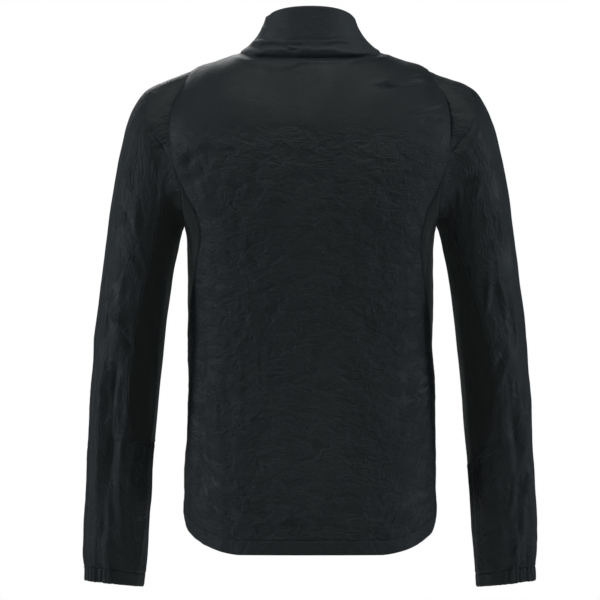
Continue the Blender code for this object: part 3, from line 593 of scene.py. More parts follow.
def cloth_lengths(points, closed):
    """How far each point lies along its row and along its column, in mm."""
    wrapped = np.concatenate([points, points[:, :1]], 1) if closed else points
    across = np.linalg.norm(np.diff(wrapped, axis=1), axis=-1)
    up = np.linalg.norm(np.diff(points, axis=0), axis=-1)
    middle = points.shape[1] // 2
    u = np.concatenate([np.zeros((len(points), 1)), np.cumsum(across, 1)], 1)
    u -= u[:, middle : middle + 1]
    v = np.concatenate([[0], np.cumsum(up[:, middle])])[:, None] * np.ones(u.shape)
    return u, v


def running_length(line):
    """How far each point of a line lies from its start, in mm."""
    return np.concatenate([[0], np.cumsum(np.linalg.norm(np.diff(line, axis=0), axis=1))])


LINE_APART = 10000.0  # added to the lengths of each further line, so that its puckers differ
PUCKER, PUCKER_REACH = 0.4, 11.0  # height of the puckers, and how far from the seam they die away


def seam_distance(points, lines):
    """Distance to the nearest of some lines, and how far along it, in mm."""
    tree = KDTree(sum(len(line) for line in lines))
    lengths = []
    for number, line in enumerate(lines):
        for point, length in zip(line, running_length(line)):
            tree.insert(point, len(lengths))
            lengths.append(length + LINE_APART * number)
    tree.balance()
    found = [tree.find(point)[1:] for point in points.reshape(-1, 3)]
    where = np.array(lengths)[[hit[0] for hit in found]].reshape(points.shape[:-1])
    return np.array([hit[1] for hit in found]).reshape(points.shape[:-1]), where


def refine_line(line, step=1.0):
    """The same line with points at most a step apart."""
    out = [line[:1]]
    for a, b in zip(line[:-1], line[1:]):
        count = max(1, int(np.ceil(np.linalg.norm(b - a) / step)))
        out.append(a + (b - a) * (np.arange(1, count + 1) / count)[:, None])
    return np.vstack(out)


def armhole_depth(points, depth):
    """Depth of the armhole seams, which are pressed almost flat at the top of the wearer's left."""
    flat = smooth(points[..., 0], 90, 125) * (1 - smooth(-points[..., 2], 150, 190))
    return depth * (1 - 0.96 * flat)


def seam_tuck(points, lines, depth, seed):
    """Cloth pulled in at its seams, with small puckers beside them."""
    gap, where = seam_distance(points, [refine_line(line) for line in lines])
    groove = -depth * np.exp(-((gap / 1.5) ** 2))
    roll = 0.25 * depth * np.exp(-(((gap - 4.0) / 2.5) ** 2))
    ripple = noise(where / 5.5, gap / 22.0, seed) + 0.6 * noise(where / 12.0, gap / 30.0, seed + 1)
    return groove + roll + PUCKER * ripple * np.exp(-((gap / PUCKER_REACH) ** 2)) * smooth(gap, 0.5, 3.0)


def cloth_mesh(name, points, closed=False, flip=False, keep=None, crinkle=None, turned=False):
    """A mesh from a grid of points in mm, with its cloth coordinates in metres."""
    rows, columns = points.shape[:2]
    cells = columns if closed else columns - 1
    i, j = np.meshgrid(np.arange(rows - 1), np.arange(cells), indexing="ij")
    if keep is not None:
        chosen = keep(i, j)
        i, j = i[chosen], j[chosen]
    i, j = i.ravel(), j.ravel()
    corners = [(i, j), (i, j + 1), (i + 1, j + 1), (i + 1, j)]
    if flip:
        corners = corners[::-1]
    index = np.stack([a * columns + b % columns for a, b in corners], 1)
    used, compact = np.unique(index, return_inverse=True)
    compact = compact.reshape(index.shape)
    mesh = bpy.data.meshes.new(name)
    mesh.from_pydata((points.reshape(-1, 3)[used] * MM).tolist(), [], compact.tolist())
    u, v = cloth_lengths(points, closed)
    first, second = (v, u) if turned else (u, v)
    pairs = np.stack([np.stack([first[a, b], second[a, b]], -1) for a, b in corners], 1) * MM
    layer = mesh.uv_layers.new(name="cloth")
    layer.data.foreach_set("uv", pairs.reshape(-1).astype(np.float32))
    level = np.zeros(rows * columns) if crinkle is None else crinkle.reshape(-1)
    attribute = mesh.attributes.new("crinkle", "FLOAT", "POINT")
    attribute.data.foreach_set("value", level[used].astype(np.float32))
    mesh.shade_smooth()
    mesh.update()
    return mesh


def add_piece(name, mesh, kind, nodes=(), body="jacket"):
    piece = bpy.data.objects.new(name, mesh)
    bpy.context.scene.collection.objects.link(piece)
    mesh.materials.clear()
    mesh.materials.append(MATERIALS[kind])
    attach(piece, body)
    if nodes:
        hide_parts(*nodes)
    return piece


# each sheet, or the pair of that name:
# material, slot, wall in mm, flat width and length in m, flat area in square metres, how it is held
SHEETS = {
    "back": ("nylon", "nylon", 0.9, (0.50, 0.70), 0.290, "hung"),
    "front": ("nylon", "nylon", 0.9, (0.22, 0.66), 0.098, "hung"),
    "side": ("stretch", "stretch", 1.0, (0.12, 0.53), 0.038, "stretched"),
    "hem_back": ("doubled", "doubled_nylon", 1.5, (0.20, 0.025), 0.0049, "hung"),
    "hem": ("doubled", "doubled_nylon", 1.5, (0.41, 0.025), 0.0102, "hung"),
    "collar": ("collar", "doubled_nylon", 1.5, (0.50, 0.085), 0.034, "hung"),
    "sleeve": ("nylon", "nylon", 0.9, (0.36, 0.70), 0.166, "hung"),
    "under_sleeve_left": ("stretch", "stretch", 1.0, (0.13, 0.55), 0.044, "stretched"),
    "under_sleeve_right": ("stretch", "stretch", 1.0, (0.13, 0.58), 0.044, "stretched"),
    "cuff": ("doubled", "doubled_nylon", 1.5, (0.27, 0.021), 0.0054, "gathered"),
    "zip_tape": ("tape", "zip_tape", 0.9, (0.0119, 0.70), 0.0082, "stretched"),
}


def shell(name, mesh):
    """The sheet that stands for the solid of this name."""
    cut = SHEETS.get(name) or SHEETS[name.rsplit("_", 1)[0]]
    kind, slot, wall, flat, area, held = cut
    piece = add_piece(name + "_cloth", mesh, kind, [name])
    solid = piece.modifiers.new("Cloth", "SOLIDIFY")
    solid.thickness = wall * MM
    solid.offset = -1.0


# ------------------------------------------------------------------ materials


def new_material(name, colour, roughness, specular=0.5, sheen=0.0, sheen_tint=(1, 1, 1)):
    made = bpy.data.materials.new(name)
    made.use_nodes = True
    shader = made.node_tree.nodes["Principled BSDF"]
    shader.inputs["Base Color"].default_value = (*colour, 1)
    shader.inputs["Roughness"].default_value = roughness
    shader.inputs["Specular IOR Level"].default_value = specular
    shader.inputs["Sheen Weight"].default_value = sheen
    shader.inputs["Sheen Roughness"].default_value = 0.4
    shader.inputs["Sheen Tint"].default_value = (*sheen_tint, 1)
    return made


ONE_BAND = 0.314  # scale of a wave texture with one band to a unit


class Nodes:
    """Short names for building a node tree."""

    def __init__(self, made):
        self.tree = made.node_tree
        self.shader = self.tree.nodes["Principled BSDF"]

    def add(self, kind, **values):
        node = self.tree.nodes.new(kind)
        for key, value in values.items():
            setattr(node, key, value)
        return node

    def link(self, source, target):
        self.tree.links.new(source, target)

    def cloth(self, width, length, turn=0.0):
        """The cloth's own coordinates, with one unit this wide and long, in mm."""
        uv = self.add("ShaderNodeUVMap", uv_map="cloth")
        mapping = self.add("ShaderNodeMapping")
        mapping.inputs["Scale"].default_value = (1000 / width, 1000 / length, 1)
        mapping.inputs["Rotation"].default_value = (0, 0, radians(turn))
        self.link(uv.outputs["UV"], mapping.inputs["Vector"])
        return mapping.outputs["Vector"]

    def noise(self, vector, kind="FBM", detail=3.0, roughness=0.5, distortion=0.0):
        node = self.add("ShaderNodeTexNoise", noise_dimensions="2D", noise_type=kind)
        node.inputs["Scale"].default_value = 1.0
        node.inputs["Detail"].default_value = detail
        node.inputs["Roughness"].default_value = roughness
        node.inputs["Distortion"].default_value = distortion
        self.link(vector, node.inputs["Vector"])
        return node.outputs["Fac"]

    def math(self, operation, first, second, third=None):
        node = self.add("ShaderNodeMath", operation=operation)
        for socket, value in zip(node.inputs, (first, second, third)):
            if value is None:
                continue
            if isinstance(value, (int, float)):
                socket.default_value = value
            else:
                self.link(value, socket)
        return node.outputs[0]

    def ramp(self, value, low, high, from_low=0.0, from_high=1.0):
        node = self.add("ShaderNodeMapRange")
        limits = {"From Min": from_low, "From Max": from_high, "To Min": low, "To Max": high}
        for key, number in limits.items():
            node.inputs[key].default_value = number
        self.link(value, node.inputs["Value"])
        return node.outputs["Result"]

    def mix(self, factor, first, second):
        node = self.add("ShaderNodeMix", data_type="RGBA")
        self.link(factor, node.inputs["Factor"])
        node.inputs["A"].default_value = (*first, 1)
        node.inputs["B"].default_value = (*second, 1)
        return node.outputs["Result"]

    def weave(self, pitch):
        """Plain weave: threads over and under each other, 0 to 1."""
        waves = []
        for direction in ("X", "Y"):
            wave = self.add("ShaderNodeTexWave", wave_type="BANDS", bands_direction=direction)
            wave.inputs["Scale"].default_value = ONE_BAND
            self.link(self.cloth(pitch, pitch), wave.inputs["Vector"])
            waves.append(wave.outputs["Fac"])
        return self.math("MULTIPLY", *waves)

    def bump(self, height, distance, strength=1.0, after=None):
        node = self.add("ShaderNodeBump")
        node.inputs["Strength"].default_value = strength
        node.inputs["Distance"].default_value = distance
        self.link(height, node.inputs["Height"])
        if after is not None:
            self.link(after, node.inputs["Normal"])
        return node.outputs["Normal"]

    def attribute(self, name):
        return self.add("ShaderNodeAttribute", attribute_name=name).outputs["Fac"]


def crinkled_nylon(name, colour, lighter, roughness=0.57, depth=0.0015):
    """Light nylon with a pressed-in crinkle, whose depth comes from the piece's crinkle attribute."""
    made = new_material(name, colour, roughness, specular=0.42, sheen=0.06, sheen_tint=(0.75, 0.86, 1.0))
    n = Nodes(made)
    wide = n.noise(n.cloth(9, 3.2, 3), "FBM", 4.0, 0.66, 0.25)
    fine = n.noise(n.cloth(5.5, 2.2, -6), "FBM", 2.0, 0.6, 0.2)
    rising = n.noise(n.cloth(24, 7.5, 27), "RIDGED_MULTIFRACTAL", 2.0, 0.5, 0.4)
    falling = n.noise(n.cloth(28, 8.5, -24), "RIDGED_MULTIFRACTAL", 2.0, 0.5, 0.4)
    height = n.math("ADD", n.math("MULTIPLY", wide, 2.6), n.math("MULTIPLY", fine, 1.0))
    slants = n.math("MULTIPLY", n.math("ADD", rising, falling), 0.22)
    height = n.math("ADD", height, slants)
    clumps = n.noise(n.cloth(26, 18, 10), "FBM", 3.0, 0.6, 0.3)
    height = n.math("MULTIPLY", height, n.ramp(clumps, 0.3, 1.9, 0.36, 0.62))
    height = n.math("MULTIPLY", height, n.attribute("crinkle"))
    normal = n.bump(height, depth)
    normal = n.bump(n.weave(0.55), 0.00006, 0.5, normal)
    n.link(normal, n.shader.inputs["Normal"])
    patch = n.noise(n.cloth(60, 80), "FBM", 4.0, 0.6)
    worn = n.math("MULTIPLY_ADD", fine, 0.25, n.math("MULTIPLY", patch, 0.75))
    n.link(n.mix(n.ramp(worn, 0.0, 1.0, 0.25, 0.8), colour, lighter), n.shader.inputs["Base Color"])
    n.link(n.ramp(patch, roughness - 0.06, roughness + 0.08, 0.3, 0.7), n.shader.inputs["Roughness"])
    return made


def knit_stretch(name, colour, lighter):
    """Matte stretch jersey: fine knitted wales, with a little unevenness."""
    made = new_material(name, colour, 0.85, specular=0.3, sheen=0.2, sheen_tint=(0.9, 1.0, 0.95))
    n = Nodes(made)
    wales = n.add("ShaderNodeTexWave", wave_type="BANDS", bands_direction="X")
    wales.inputs["Scale"].default_value = ONE_BAND
    wales.inputs["Distortion"].default_value = 0.6
    n.link(n.cloth(0.8, 0.8), wales.inputs["Vector"])
    loops = n.weave(0.6)
    soft = n.noise(n.cloth(9, 26), "FBM", 3.0, 0.5)
    normal = n.bump(n.math("ADD", n.math("MULTIPLY", wales.outputs["Fac"], 0.6), loops), 0.00012, 0.7)
    normal = n.bump(soft, 0.0006, 0.6, normal)
    n.link(normal, n.shader.inputs["Normal"])
    n.link(n.mix(n.ramp(soft, 0, 1, 0.3, 0.7), colour, lighter), n.shader.inputs["Base Color"])
    return made


def object_grain(name, colour, lighter, roughness, scale, depth, specular=0.5, coat=0.0):
    """Moulded or enamelled trim: a fine grain in the object's own coordinates."""
    made = new_material(name, colour, roughness, specular=specular)
    n = Nodes(made)
    n.shader.inputs["Coat Weight"].default_value = coat
    place = n.add("ShaderNodeTexCoord").outputs["Object"]
    grain = n.add("ShaderNodeTexNoise", noise_dimensions="3D")
    grain.inputs["Scale"].default_value = scale
    grain.inputs["Detail"].default_value = 4.0
    n.link(place, grain.inputs["Vector"])
    value = grain.outputs["Fac"]
    n.link(n.bump(value, depth, 0.6), n.shader.inputs["Normal"])
    n.link(n.mix(n.ramp(value, 0, 1, 0.35, 0.7), colour, lighter), n.shader.inputs["Base Color"])
    n.link(n.ramp(value, roughness - 0.08, roughness + 0.1, 0.3, 0.7), n.shader.inputs["Roughness"])
    return made


DOUBLED_ROUGHNESS = 0.64
THREAD_GRAIN = (0.6, 1800, 0.00003)  # roughness, then the grain's scale and depth

MATERIALS = {
    "nylon": crinkled_nylon("crinkled_nylon", (0.0074, 0.0096, 0.0106), (0.0112, 0.0143, 0.0156)),
    "doubled": crinkled_nylon(
        "doubled_nylon", (0.0115, 0.0136, 0.0146), (0.0160, 0.0186, 0.0198), DOUBLED_ROUGHNESS, 0.0007
    ),
    # the collar is the same doubled nylon as the hem band and cuffs, with painted light: its colour is made
    # lighter to stand in for the top light that falls on the shoulders
    "collar": crinkled_nylon(
        "collar_nylon_painted_light", (0.0262, 0.0292, 0.0312), (0.0325, 0.0358, 0.0380), DOUBLED_ROUGHNESS, 0.0005
    ),
    "stretch": knit_stretch("stretch_jersey", (0.0118, 0.0130, 0.0125), (0.0155, 0.0169, 0.0163)),
    "tape": knit_stretch("zip_tape_weave", (0.0110, 0.0120, 0.0130), (0.0150, 0.0160, 0.0170)),
    "thread": object_grain("sewing_thread", (0.018, 0.0205, 0.022), (0.030, 0.033, 0.035), *THREAD_GRAIN),
    "flatlock": object_grain("flatlock_thread", (0.050, 0.056, 0.056), (0.075, 0.082, 0.080), *THREAD_GRAIN),
    "moulded": object_grain("zip_plastic", (0.013, 0.013, 0.014), (0.020, 0.020, 0.021), 0.42, 900, 0.00004),
    "enamel": object_grain(
        "zip_enamel", (0.016, 0.016, 0.017), (0.024, 0.024, 0.025), 0.3, 1400, 0.00002,
        specular=0.6, coat=0.25,
    ),
}


# ------------------------------------------------------------------ relief of the cloth


def undulation(points, size, seed):
    """Slow waves about this wide, in mm, worked out from where the points are."""
    x, y, z = points[..., 0], points[..., 1], points[..., 2]
    slow = noise((x + 0.7 * y) / size, z / (1.5 * size), seed)
    return slow + 0.5 * noise((x - 0.6 * y) / size * 2, z / size, seed + 5)


def wrinkles(u, v, seed):
    """Crinkled cloth: short crests, mostly across the piece."""
    warp = noise(u / 23, v / 17, seed + 2)
    wide = noise(u / 12 + warp, v / 5.0 + 0.8 * warp, seed)
    slant = ridged((u + 0.8 * v) / 13, (v - 0.5 * u) / 8 + warp, seed + 1)
    lumps = noise(u / 26, v / 15 + warp, seed + 3)
    return 0.55 * wide + 0.42 * slant + 0.55 * lumps - 0.1


def torso_relief(points, normals):
    """Height of the body's folds and waves, in mm."""
    rear = smooth(normals[..., 1], -0.1, 0.3)
    x, drop = points[..., 0], -points[..., 2]
    drawn = rear * fold_height(x, drop, BACK_FOLDS) + (1 - rear) * fold_height(x, drop, FRONT_FOLDS)
    side = smooth(np.abs(x), 84, 140) * smooth(drop, 230, 330)
    upright = noise(x / 13 + 0.5 * noise(x / 30, drop / 60, 65), drop / 110, 61)
    upright = upright + 0.5 * noise(x / 6.5, drop / 60, 63)
    lumps = noise(x / 34, drop / 22, 71) * smooth(drop, 90, 160)
    return drawn + 1.6 * undulation(points, 62, 11) + 1.5 * side * upright + 0.6 * lumps


def crinkle_level(points, normals):
    """How crinkled the body's cloth is, about 0 to 1: smooth over the shoulders and down the sides."""
    x, drop = np.abs(points[..., 0]), -points[..., 2]
    rear = smooth(normals[..., 1], -0.2, 0.2)
    middle = 1 - 0.7 * smooth(x, 95, 155)
    patchy = 0.8 + 0.35 * noise(points[..., 0] / 40, points[..., 2] / 40, 77)
    return (0.05 + 0.95 * smooth(drop, 96, 150) * middle) * patchy * (0.75 + 0.25 * rear)


def sleeve_relief(points, normals, along, turn, side):
    """Height of a sleeve's folds and streaks, in mm."""
    rear = smooth(normals[..., 1], -0.25, 0.25)
    x, drop = points[..., 0], -points[..., 2]
    behind = fold_height(x, drop, LEFT_ARM_FOLDS if side > 0 else RIGHT_ARM_FOLDS)
    shift, lower = (0, 0) if side > 0 else (3, 14)  # so that the two sleeves' fronts aren't alike
    ahead = fold_height(np.abs(x) + shift, drop + lower, ARM_FRONT_FOLDS)
    bent = turn + 9 * noise(turn / 40, along * 1.1, 35 + side)
    streaks = noise(bent / 24 + 4 * side, along * 0.45 + 3 * side, 31)
    streaks = streaks + 0.5 * ridged(bent / 26, along * 0.6, 37 + side)
    streaks = streaks * smooth(along, 2.2, 4.0) + 0.35 * noise(bent / 9, along * 0.9, 39)
    gentle = undulation(points, 44, 17 if side > 0 else 23)
    return 1.25 * (rear * behind + (1 - rear) * ahead) + gentle + 2.2 * streaks


ELASTIC_TURN = 150.0  # degrees round the cuff to the middle of its elastic


def cuff_gathers(turn, along, seed):
    """Gathers of the elastic, on the outer and rear part of the cuff, which fan out above it."""
    elastic = smooth(np.cos(np.radians(turn - ELASTIC_TURN)), 0.05, 0.45)
    above = CUFF_ALONG - along
    fine = np.sin(np.radians(turn) * 34 + 3.0 * noise(turn / 9, along * 2, seed))
    broad = np.sin(np.radians(turn) * 15 + 2.5 * noise(turn / 16, along * 1.2, seed + 1))
    rise = np.where(above < 0, 1.0, np.exp(-above / 0.16))
    fan = np.where(above < 0, 0.4, np.exp(-above / 0.75))
    return elastic * (1.2 * fine * rise + 2.1 * broad * fan) - 1.6 * elastic * np.exp(-((above / 0.14) ** 2))


def grid_line(points, normals, distance, from_last=False, by_row=False):
    """A line across a grid, at a distance in mm from its first or last row (or column, with by_row)."""
    if by_row:
        points, normals = points.transpose(1, 0, 2), normals.transpose(1, 0, 2)
    if from_last:
        points, normals = points[::-1], normals[::-1]
    steps = np.linalg.norm(np.diff(points, axis=0), axis=-1)
    lengths = np.vstack([np.zeros(points.shape[1]), np.cumsum(steps, 0)])
    found, facing = [], []
    for column in range(points.shape[1]):
        k = int(np.clip(np.searchsorted(lengths[:, column], distance) - 1, 0, len(points) - 2))
        share = (distance - lengths[k, column]) / max(lengths[k + 1, column] - lengths[k, column], 1e-6)
        found.append(points[k, column] + share * (points[k + 1, column] - points[k, column]))
        facing.append(normals[k, column])
    return np.array(found), np.array(facing)


STITCHES = []  # (points, normals) of each line of stitching
FLATLOCK = []  # the same for the raised seams round the under sleeves


TOPSTITCH = 2.4  # from a seam to the stitching beside it, in mm
ZIP_TOPSTITCH = 7.5  # from the zip's edge to the stitching beside it
HEM_TOPSTITCH = 2.6  # from the top of the hem band to its stitching


def stitch_line(points, normals):
    STITCHES.append((np.asarray(points), np.asarray(normals)))


def finish_panel(
    name, points, relief, lines, seed, closed=False, flip=False,
    crinkle=None, geometry=0.62, flatten=None, depth=0.8, stand=0.0,
):
    """Lays the relief and the seams on a grid, and makes the shell. Returns its points and normals.

    crinkle is the level of the fine wrinkles, and geometry their height in mm. flatten turns the relief
    level where it is 1. depth is that of the seams, and stand lifts the whole sheet, both in mm.
    """
    normals = grid_normals(points, closed, flip)
    if flatten is not None:
        normals = normals * (1 - flatten[..., None] * np.array([0, 0, 1.0]))
        normals /= np.linalg.norm(normals, axis=-1, keepdims=True)
    height = relief + seam_tuck(points, lines, depth, seed)
    if crinkle is not None:
        u, v = cloth_lengths(points, closed)
        u, v = u[:, : points.shape[1]], v[:, : points.shape[1]]
        height = height + geometry * crinkle * wrinkles(u, v, seed)
    moved = points + normals * (height + stand)[..., None]
    shell(name, cloth_mesh(name, moved, closed, flip, crinkle=crinkle))
    return moved, grid_normals(moved, closed, flip)


# ------------------------------------------------------------------ torso

ROW_MM = 100  # length of one row of the torso, or of one step along a sleeve
LOW_ROWS = dense_ends(BAND_ROW, SIDE_TOP_ROW, 226, 0.35)
ARMHOLE_ROWS = armhole_row(np.linspace(SIDE_PANEL_TURN, 180, 70))
YOKE_ROWS = dense_ends(SHOULDER_ROW, NECK_ROW, 32, 0.5)
ALL_ROWS = np.concatenate([LOW_ROWS, ARMHOLE_ROWS[1:], YOKE_ROWS[1:]])


def neck_roll(rows):
    """The cloth dips steeply into the neck seam, under the collar's fold."""
    below = (NECK_ROW - rows) * ROW_MM
    return -4.6 * np.exp(-((below / 4.2) ** 2)) + 1.2 * np.exp(-(((below - 10) / 4.5) ** 2))


def neck_sides(points):
    """The neck's fold is deep at the back and shallow where it turns to the shoulders."""
    shallow = 1 - 0.75 * smooth(np.abs(points[..., 0]), 66, 96) * smooth(points[..., 1], -60, 10)
    return shallow * (0.4 + 0.6 * smooth(points[..., 1], -70, 10))


def neck_share(rows):
    """How far the relief is turned level, so that the two sides of the neck seam move alike."""
    return np.exp(-((((NECK_ROW - rows) * ROW_MM) / 9) ** 2))


def panel_points(first, last, cells, crowd, side):
    """A panel of the torso between two edges, which are given in degrees for each row."""
    share = dense_ends(0, 1, cells, crowd)[None, :]
    angles = first[:, None] * (1 - share) + last[:, None] * share
    return torso(on_side(angles, side), ALL_ROWS[:, None] * np.ones_like(angles))


def stitch_armhole(points, normals, last):
    """Stitching beside the armhole, which is the first or last column above the side panel."""
    line, facing = grid_line(points, normals, TOPSTITCH, last, by_row=True)
    stitch_line(line[len(LOW_ROWS) :], facing[len(LOW_ROWS) :])


def make_back():
    left, right = panel_edge(ALL_ROWS, +1, True), 180 - panel_edge(ALL_ROWS, -1, True)
    points = panel_points(left, right, 146, 0.5, +1)
    normals = grid_normals(points, False, False)
    rows = ALL_ROWS[:, None]
    relief = torso_relief(points, normals) + neck_roll(rows) * neck_sides(points)
    moved, facing = finish_panel(
        "back", points, relief, [points[:, 0], points[:, -1], points[0]], 101,
        crinkle=crinkle_level(points, normals), flatten=neck_share(rows) * np.ones(points.shape[:2]),
        depth=armhole_depth(points, 0.8),
    )
    for last in (False, True):
        stitch_armhole(moved, facing, last)


def make_fronts():
    rows = ALL_ROWS[:, None]
    for side, name in ((+1, "front_left"), (-1, "front_right")):
        inner, outer = zip_edge_angle(TORSO(ALL_ROWS)), panel_edge(ALL_ROWS, side, False)
        points = panel_points(inner, outer, 72, 0.6, side)
        normals = grid_normals(points, False, side < 0)
        across = np.abs(points[..., 0])
        calm = 0.15 + 0.85 * smooth(across, 10, 45)  # the cloth lies flat beside the zip
        fly = 0.7 * np.exp(-(((across - 9.0) / 4.0) ** 2)) - 0.7 * np.exp(-(((across - 15.5) / 1.6) ** 2))
        relief = torso_relief(points, normals) * calm + fly
        relief = relief + neck_roll(rows) * neck_sides(points) * smooth(across, 8, 20)
        moved, facing = finish_panel(
            name, points, relief, [points[:, -1], points[0]], 131 + side, flip=side < 0,
            crinkle=crinkle_level(points, normals) * calm,
            flatten=neck_share(rows) * np.ones(points.shape[:2]),
        )
        stitch_line(*grid_line(moved, facing, ZIP_TOPSTITCH, by_row=True))
        stitch_armhole(moved, facing, True)


def make_sides():
    rows = dense_ends(BAND_ROW, SIDE_TOP_ROW, 190, 0.5)
    share = dense_ends(0, 1, 36, 0.5)
    turns = (2 * share - 1) * SIDE_PANEL_TURN
    low, high = float(armhole_angle(-SIDE_PANEL_TURN)), float(armhole_angle(SIDE_PANEL_TURN))
    even = low + (high - low) * share
    bent = smooth(rows, SIDE_PANEL_BENDS_ROW, SIDE_TOP_ROW)[:, None]
    heights = rows[:, None] + bent * (armhole_row(turns) - SIDE_TOP_ROW)[None, :]
    for side, name in ((+1, "side_left"), (-1, "side_right")):
        front, back = side_seam(rows, side, False)[:, None], side_seam(rows, side, True)[:, None]
        angles = front + (back - front) * share[None, :]
        angles = angles + bent * (armhole_angle(turns) - even)[None, :]
        points = torso(on_side(angles, side), heights)
        relief = torso_relief(points, grid_normals(points, False, side < 0)) * 0.8
        lines = [points[:, 0], points[:, -1], points[0], points[-1]]
        finish_panel(name, points, relief, lines, 141 + side, flip=side < 0)


# ------------------------------------------------------------------ hem band and collar

SEAM_ALLOWANCE_INSET = 2.6  # how far inside the neighbour a seam allowance lies
ALLOWANCE_SHARES = [[1.12], [1.3]]  # rows of the hem band's allowance, inside the panels above it
ALLOWANCE_DEGREES = [0.7, 1.6]  # columns of its allowance, behind the band in the back


def spread(first, last, cells):
    return [first + (last - first) * k / cells for k in range(cells + 1)]


def hem_piece(name, angles_low, angles_high, side, seed, seams, tucked_end=False):
    """A length of the turned hem band, with a row of stitching under its joint with the panels.

    seams are the columns where it meets the next length. A tucked end runs on behind that one.
    """
    share = dense_ends(0, 1, 15, 0.3)[:, None]
    angles = angles_low[None, :] * (1 - share) + angles_high[None, :] * share
    angles = np.vstack([angles, angles[-1:], angles[-1:]])
    share = np.vstack([share, ALLOWANCE_SHARES])
    rows = (HEM_ROW + share * (BAND_ROW - HEM_ROW)) * np.ones_like(angles)
    points = torso(on_side(angles, side), rows)
    normals = grid_normals(points, False, side < 0)
    up = (share * (BAND_ROW - HEM_ROW) * ROW_MM) * np.ones_like(angles)
    allowance = -SEAM_ALLOWANCE_INSET * smooth(share, 1.0, 1.1) * np.ones_like(angles)
    if tucked_end:
        allowance[:, -2:] = -SEAM_ALLOWANCE_INSET
    turned = -1.0 * np.exp(-((up / 1.6) ** 2))
    drag = 0.35 * noise(points[..., 0] / 9 + up / 30, points[..., 1] / 9, 151)
    relief = torso_relief(points, normals) + turned + drag * smooth(up, 0, 4) + allowance
    lines = [points[-3]] + [points[:-2, column] for column in seams]
    moved, facing = finish_panel(
        name, points, relief, lines, seed, flip=side < 0, stand=0.3, depth=0.45,
        crinkle=0.45 * np.ones_like(angles), geometry=0.35,
    )
    stitch_line(*grid_line(moved[:-2], facing[:-2], HEM_TOPSTITCH, True))


def mitre_angles(side):
    """Degrees from this side to the band's two slanting joints in the back, at its top edge."""
    edge, other = float(side_seam(BAND_ROW, side, True)), float(side_seam(BAND_ROW, -side, True))
    back = spread(edge, 180 - other, BACK_CELLS)
    return back[MITRE_CELL], back[BACK_CELLS - MITRE_CELL]


def make_hem():
    low_end, high_end = mitre_angles(+1)
    high = dense_ends(low_end, high_end, 160, 0.4)
    low = dense_ends(low_end - MITRE_SLANT, high_end + MITRE_SLANT, 160, 0.4)
    hem_piece("hem_back", low, high, +1, 151, (0, -1))
    start = float(zip_edge_angle(TORSO(BAND_ROW)))
    for side, name in ((+1, "hem_left"), (-1, "hem_right")):
        mitre, _ = mitre_angles(side)
        high = dense_ends(start, mitre, 200, 0.3)
        low = dense_ends(start, mitre - MITRE_SLANT, 200, 0.3)
        low, high = (np.append(line, line[-1] + np.array(ALLOWANCE_DEGREES)) for line in (low, high))
        hem_piece(name, low, high, side, 155 + side, (-3,), True)


COLLAR_HEIGHT = 74  # along the cloth, in mm
COLLAR_SEAM, COLLAR_STITCHING = 27, 28.4  # height of the collar's pressed seam and of its stitching


def collar_fold(points, up):
    """The roll of the collar over the neck seam, deepest at the back."""
    thick = 0.75 + 0.5 * smooth(points[..., 0], -58, -20) * (1 - smooth(points[..., 0], 45, 75))
    thick = 1.25 * thick * (1 + 0.32 * noise(points[..., 0] / 19, 0 * thick, 43))
    roll = -7.0 * np.exp(-((up / (3.6 * thick)) ** 2)) + 1.7 * np.exp(-(((up - 8.0 * thick) / 3.4) ** 2))
    return roll * neck_sides(points)


def make_collar():
    rows = dense_ends(0.0, 1.0, 60, 0.3)
    start = float(zip_edge_angle(TORSO(NECK_ROW)))
    share = dense_ends(0, 1, 260, 0.35)
    base = start + (180 - 2 * start) * share
    drift = (zip_edge_angle(COLLAR(rows)) - start)[:, None]
    pull = np.exp(-share * 22)[None, :] - np.exp(-(1 - share) * 22)[None, :]
    angles = base[None, :] + drift * pull
    points = collar(angles, rows[:, None] * np.ones_like(angles))
    normals = grid_normals(points, False, False)
    rear = smooth(normals[..., 1], -0.1, 0.3)
    drawn = rear * fold_height(points[..., 0], -points[..., 2], COLLAR_FOLDS)
    up = (rows * COLLAR_HEIGHT)[:, None]
    centre_front = (normals[..., 1] < 0) * (1 - smooth(np.abs(points[..., 0]), 6, 18))
    turned = -0.8 * np.exp(-(((COLLAR_HEIGHT - up) / 1.5) ** 2))
    seam = -0.55 * np.exp(-(((up - COLLAR_SEAM) / 1.3) ** 2)) * rear * smooth(points[..., 0], -95, -80)
    seam = seam * (1 - smooth(points[..., 0], 20, 34))
    roll = collar_fold(points, up) * (1 - centre_front)
    relief = (drawn + roll + turned + seam + 0.7 * undulation(points, 40, 41)) * (1 - 0.8 * centre_front)
    moved, facing = finish_panel(
        "collar", points, relief, [points[0]], 161, stand=0.4, depth=0.4,
        crinkle=0.22 * np.ones_like(angles), geometry=0.3,
        flatten=np.exp(-((up / 9) ** 2)) * np.ones_like(angles),
    )
    row = int(np.argmin(np.abs(rows * COLLAR_HEIGHT - COLLAR_STITCHING)))
    middle = (facing[row][:, 1] > 0.2) & (points[row][:, 0] < 28) & (points[row][:, 0] > -84)
    stitch_line(moved[row][middle], facing[row][middle])
    for last in (False, True):
        stitch_line(*grid_line(moved, facing, ZIP_TOPSTITCH, last, by_row=True))


# ------------------------------------------------------------------ sleeves

UNDER_CELLS, REST_CELLS = 52, 106  # columns of the under sleeve, and round the rest


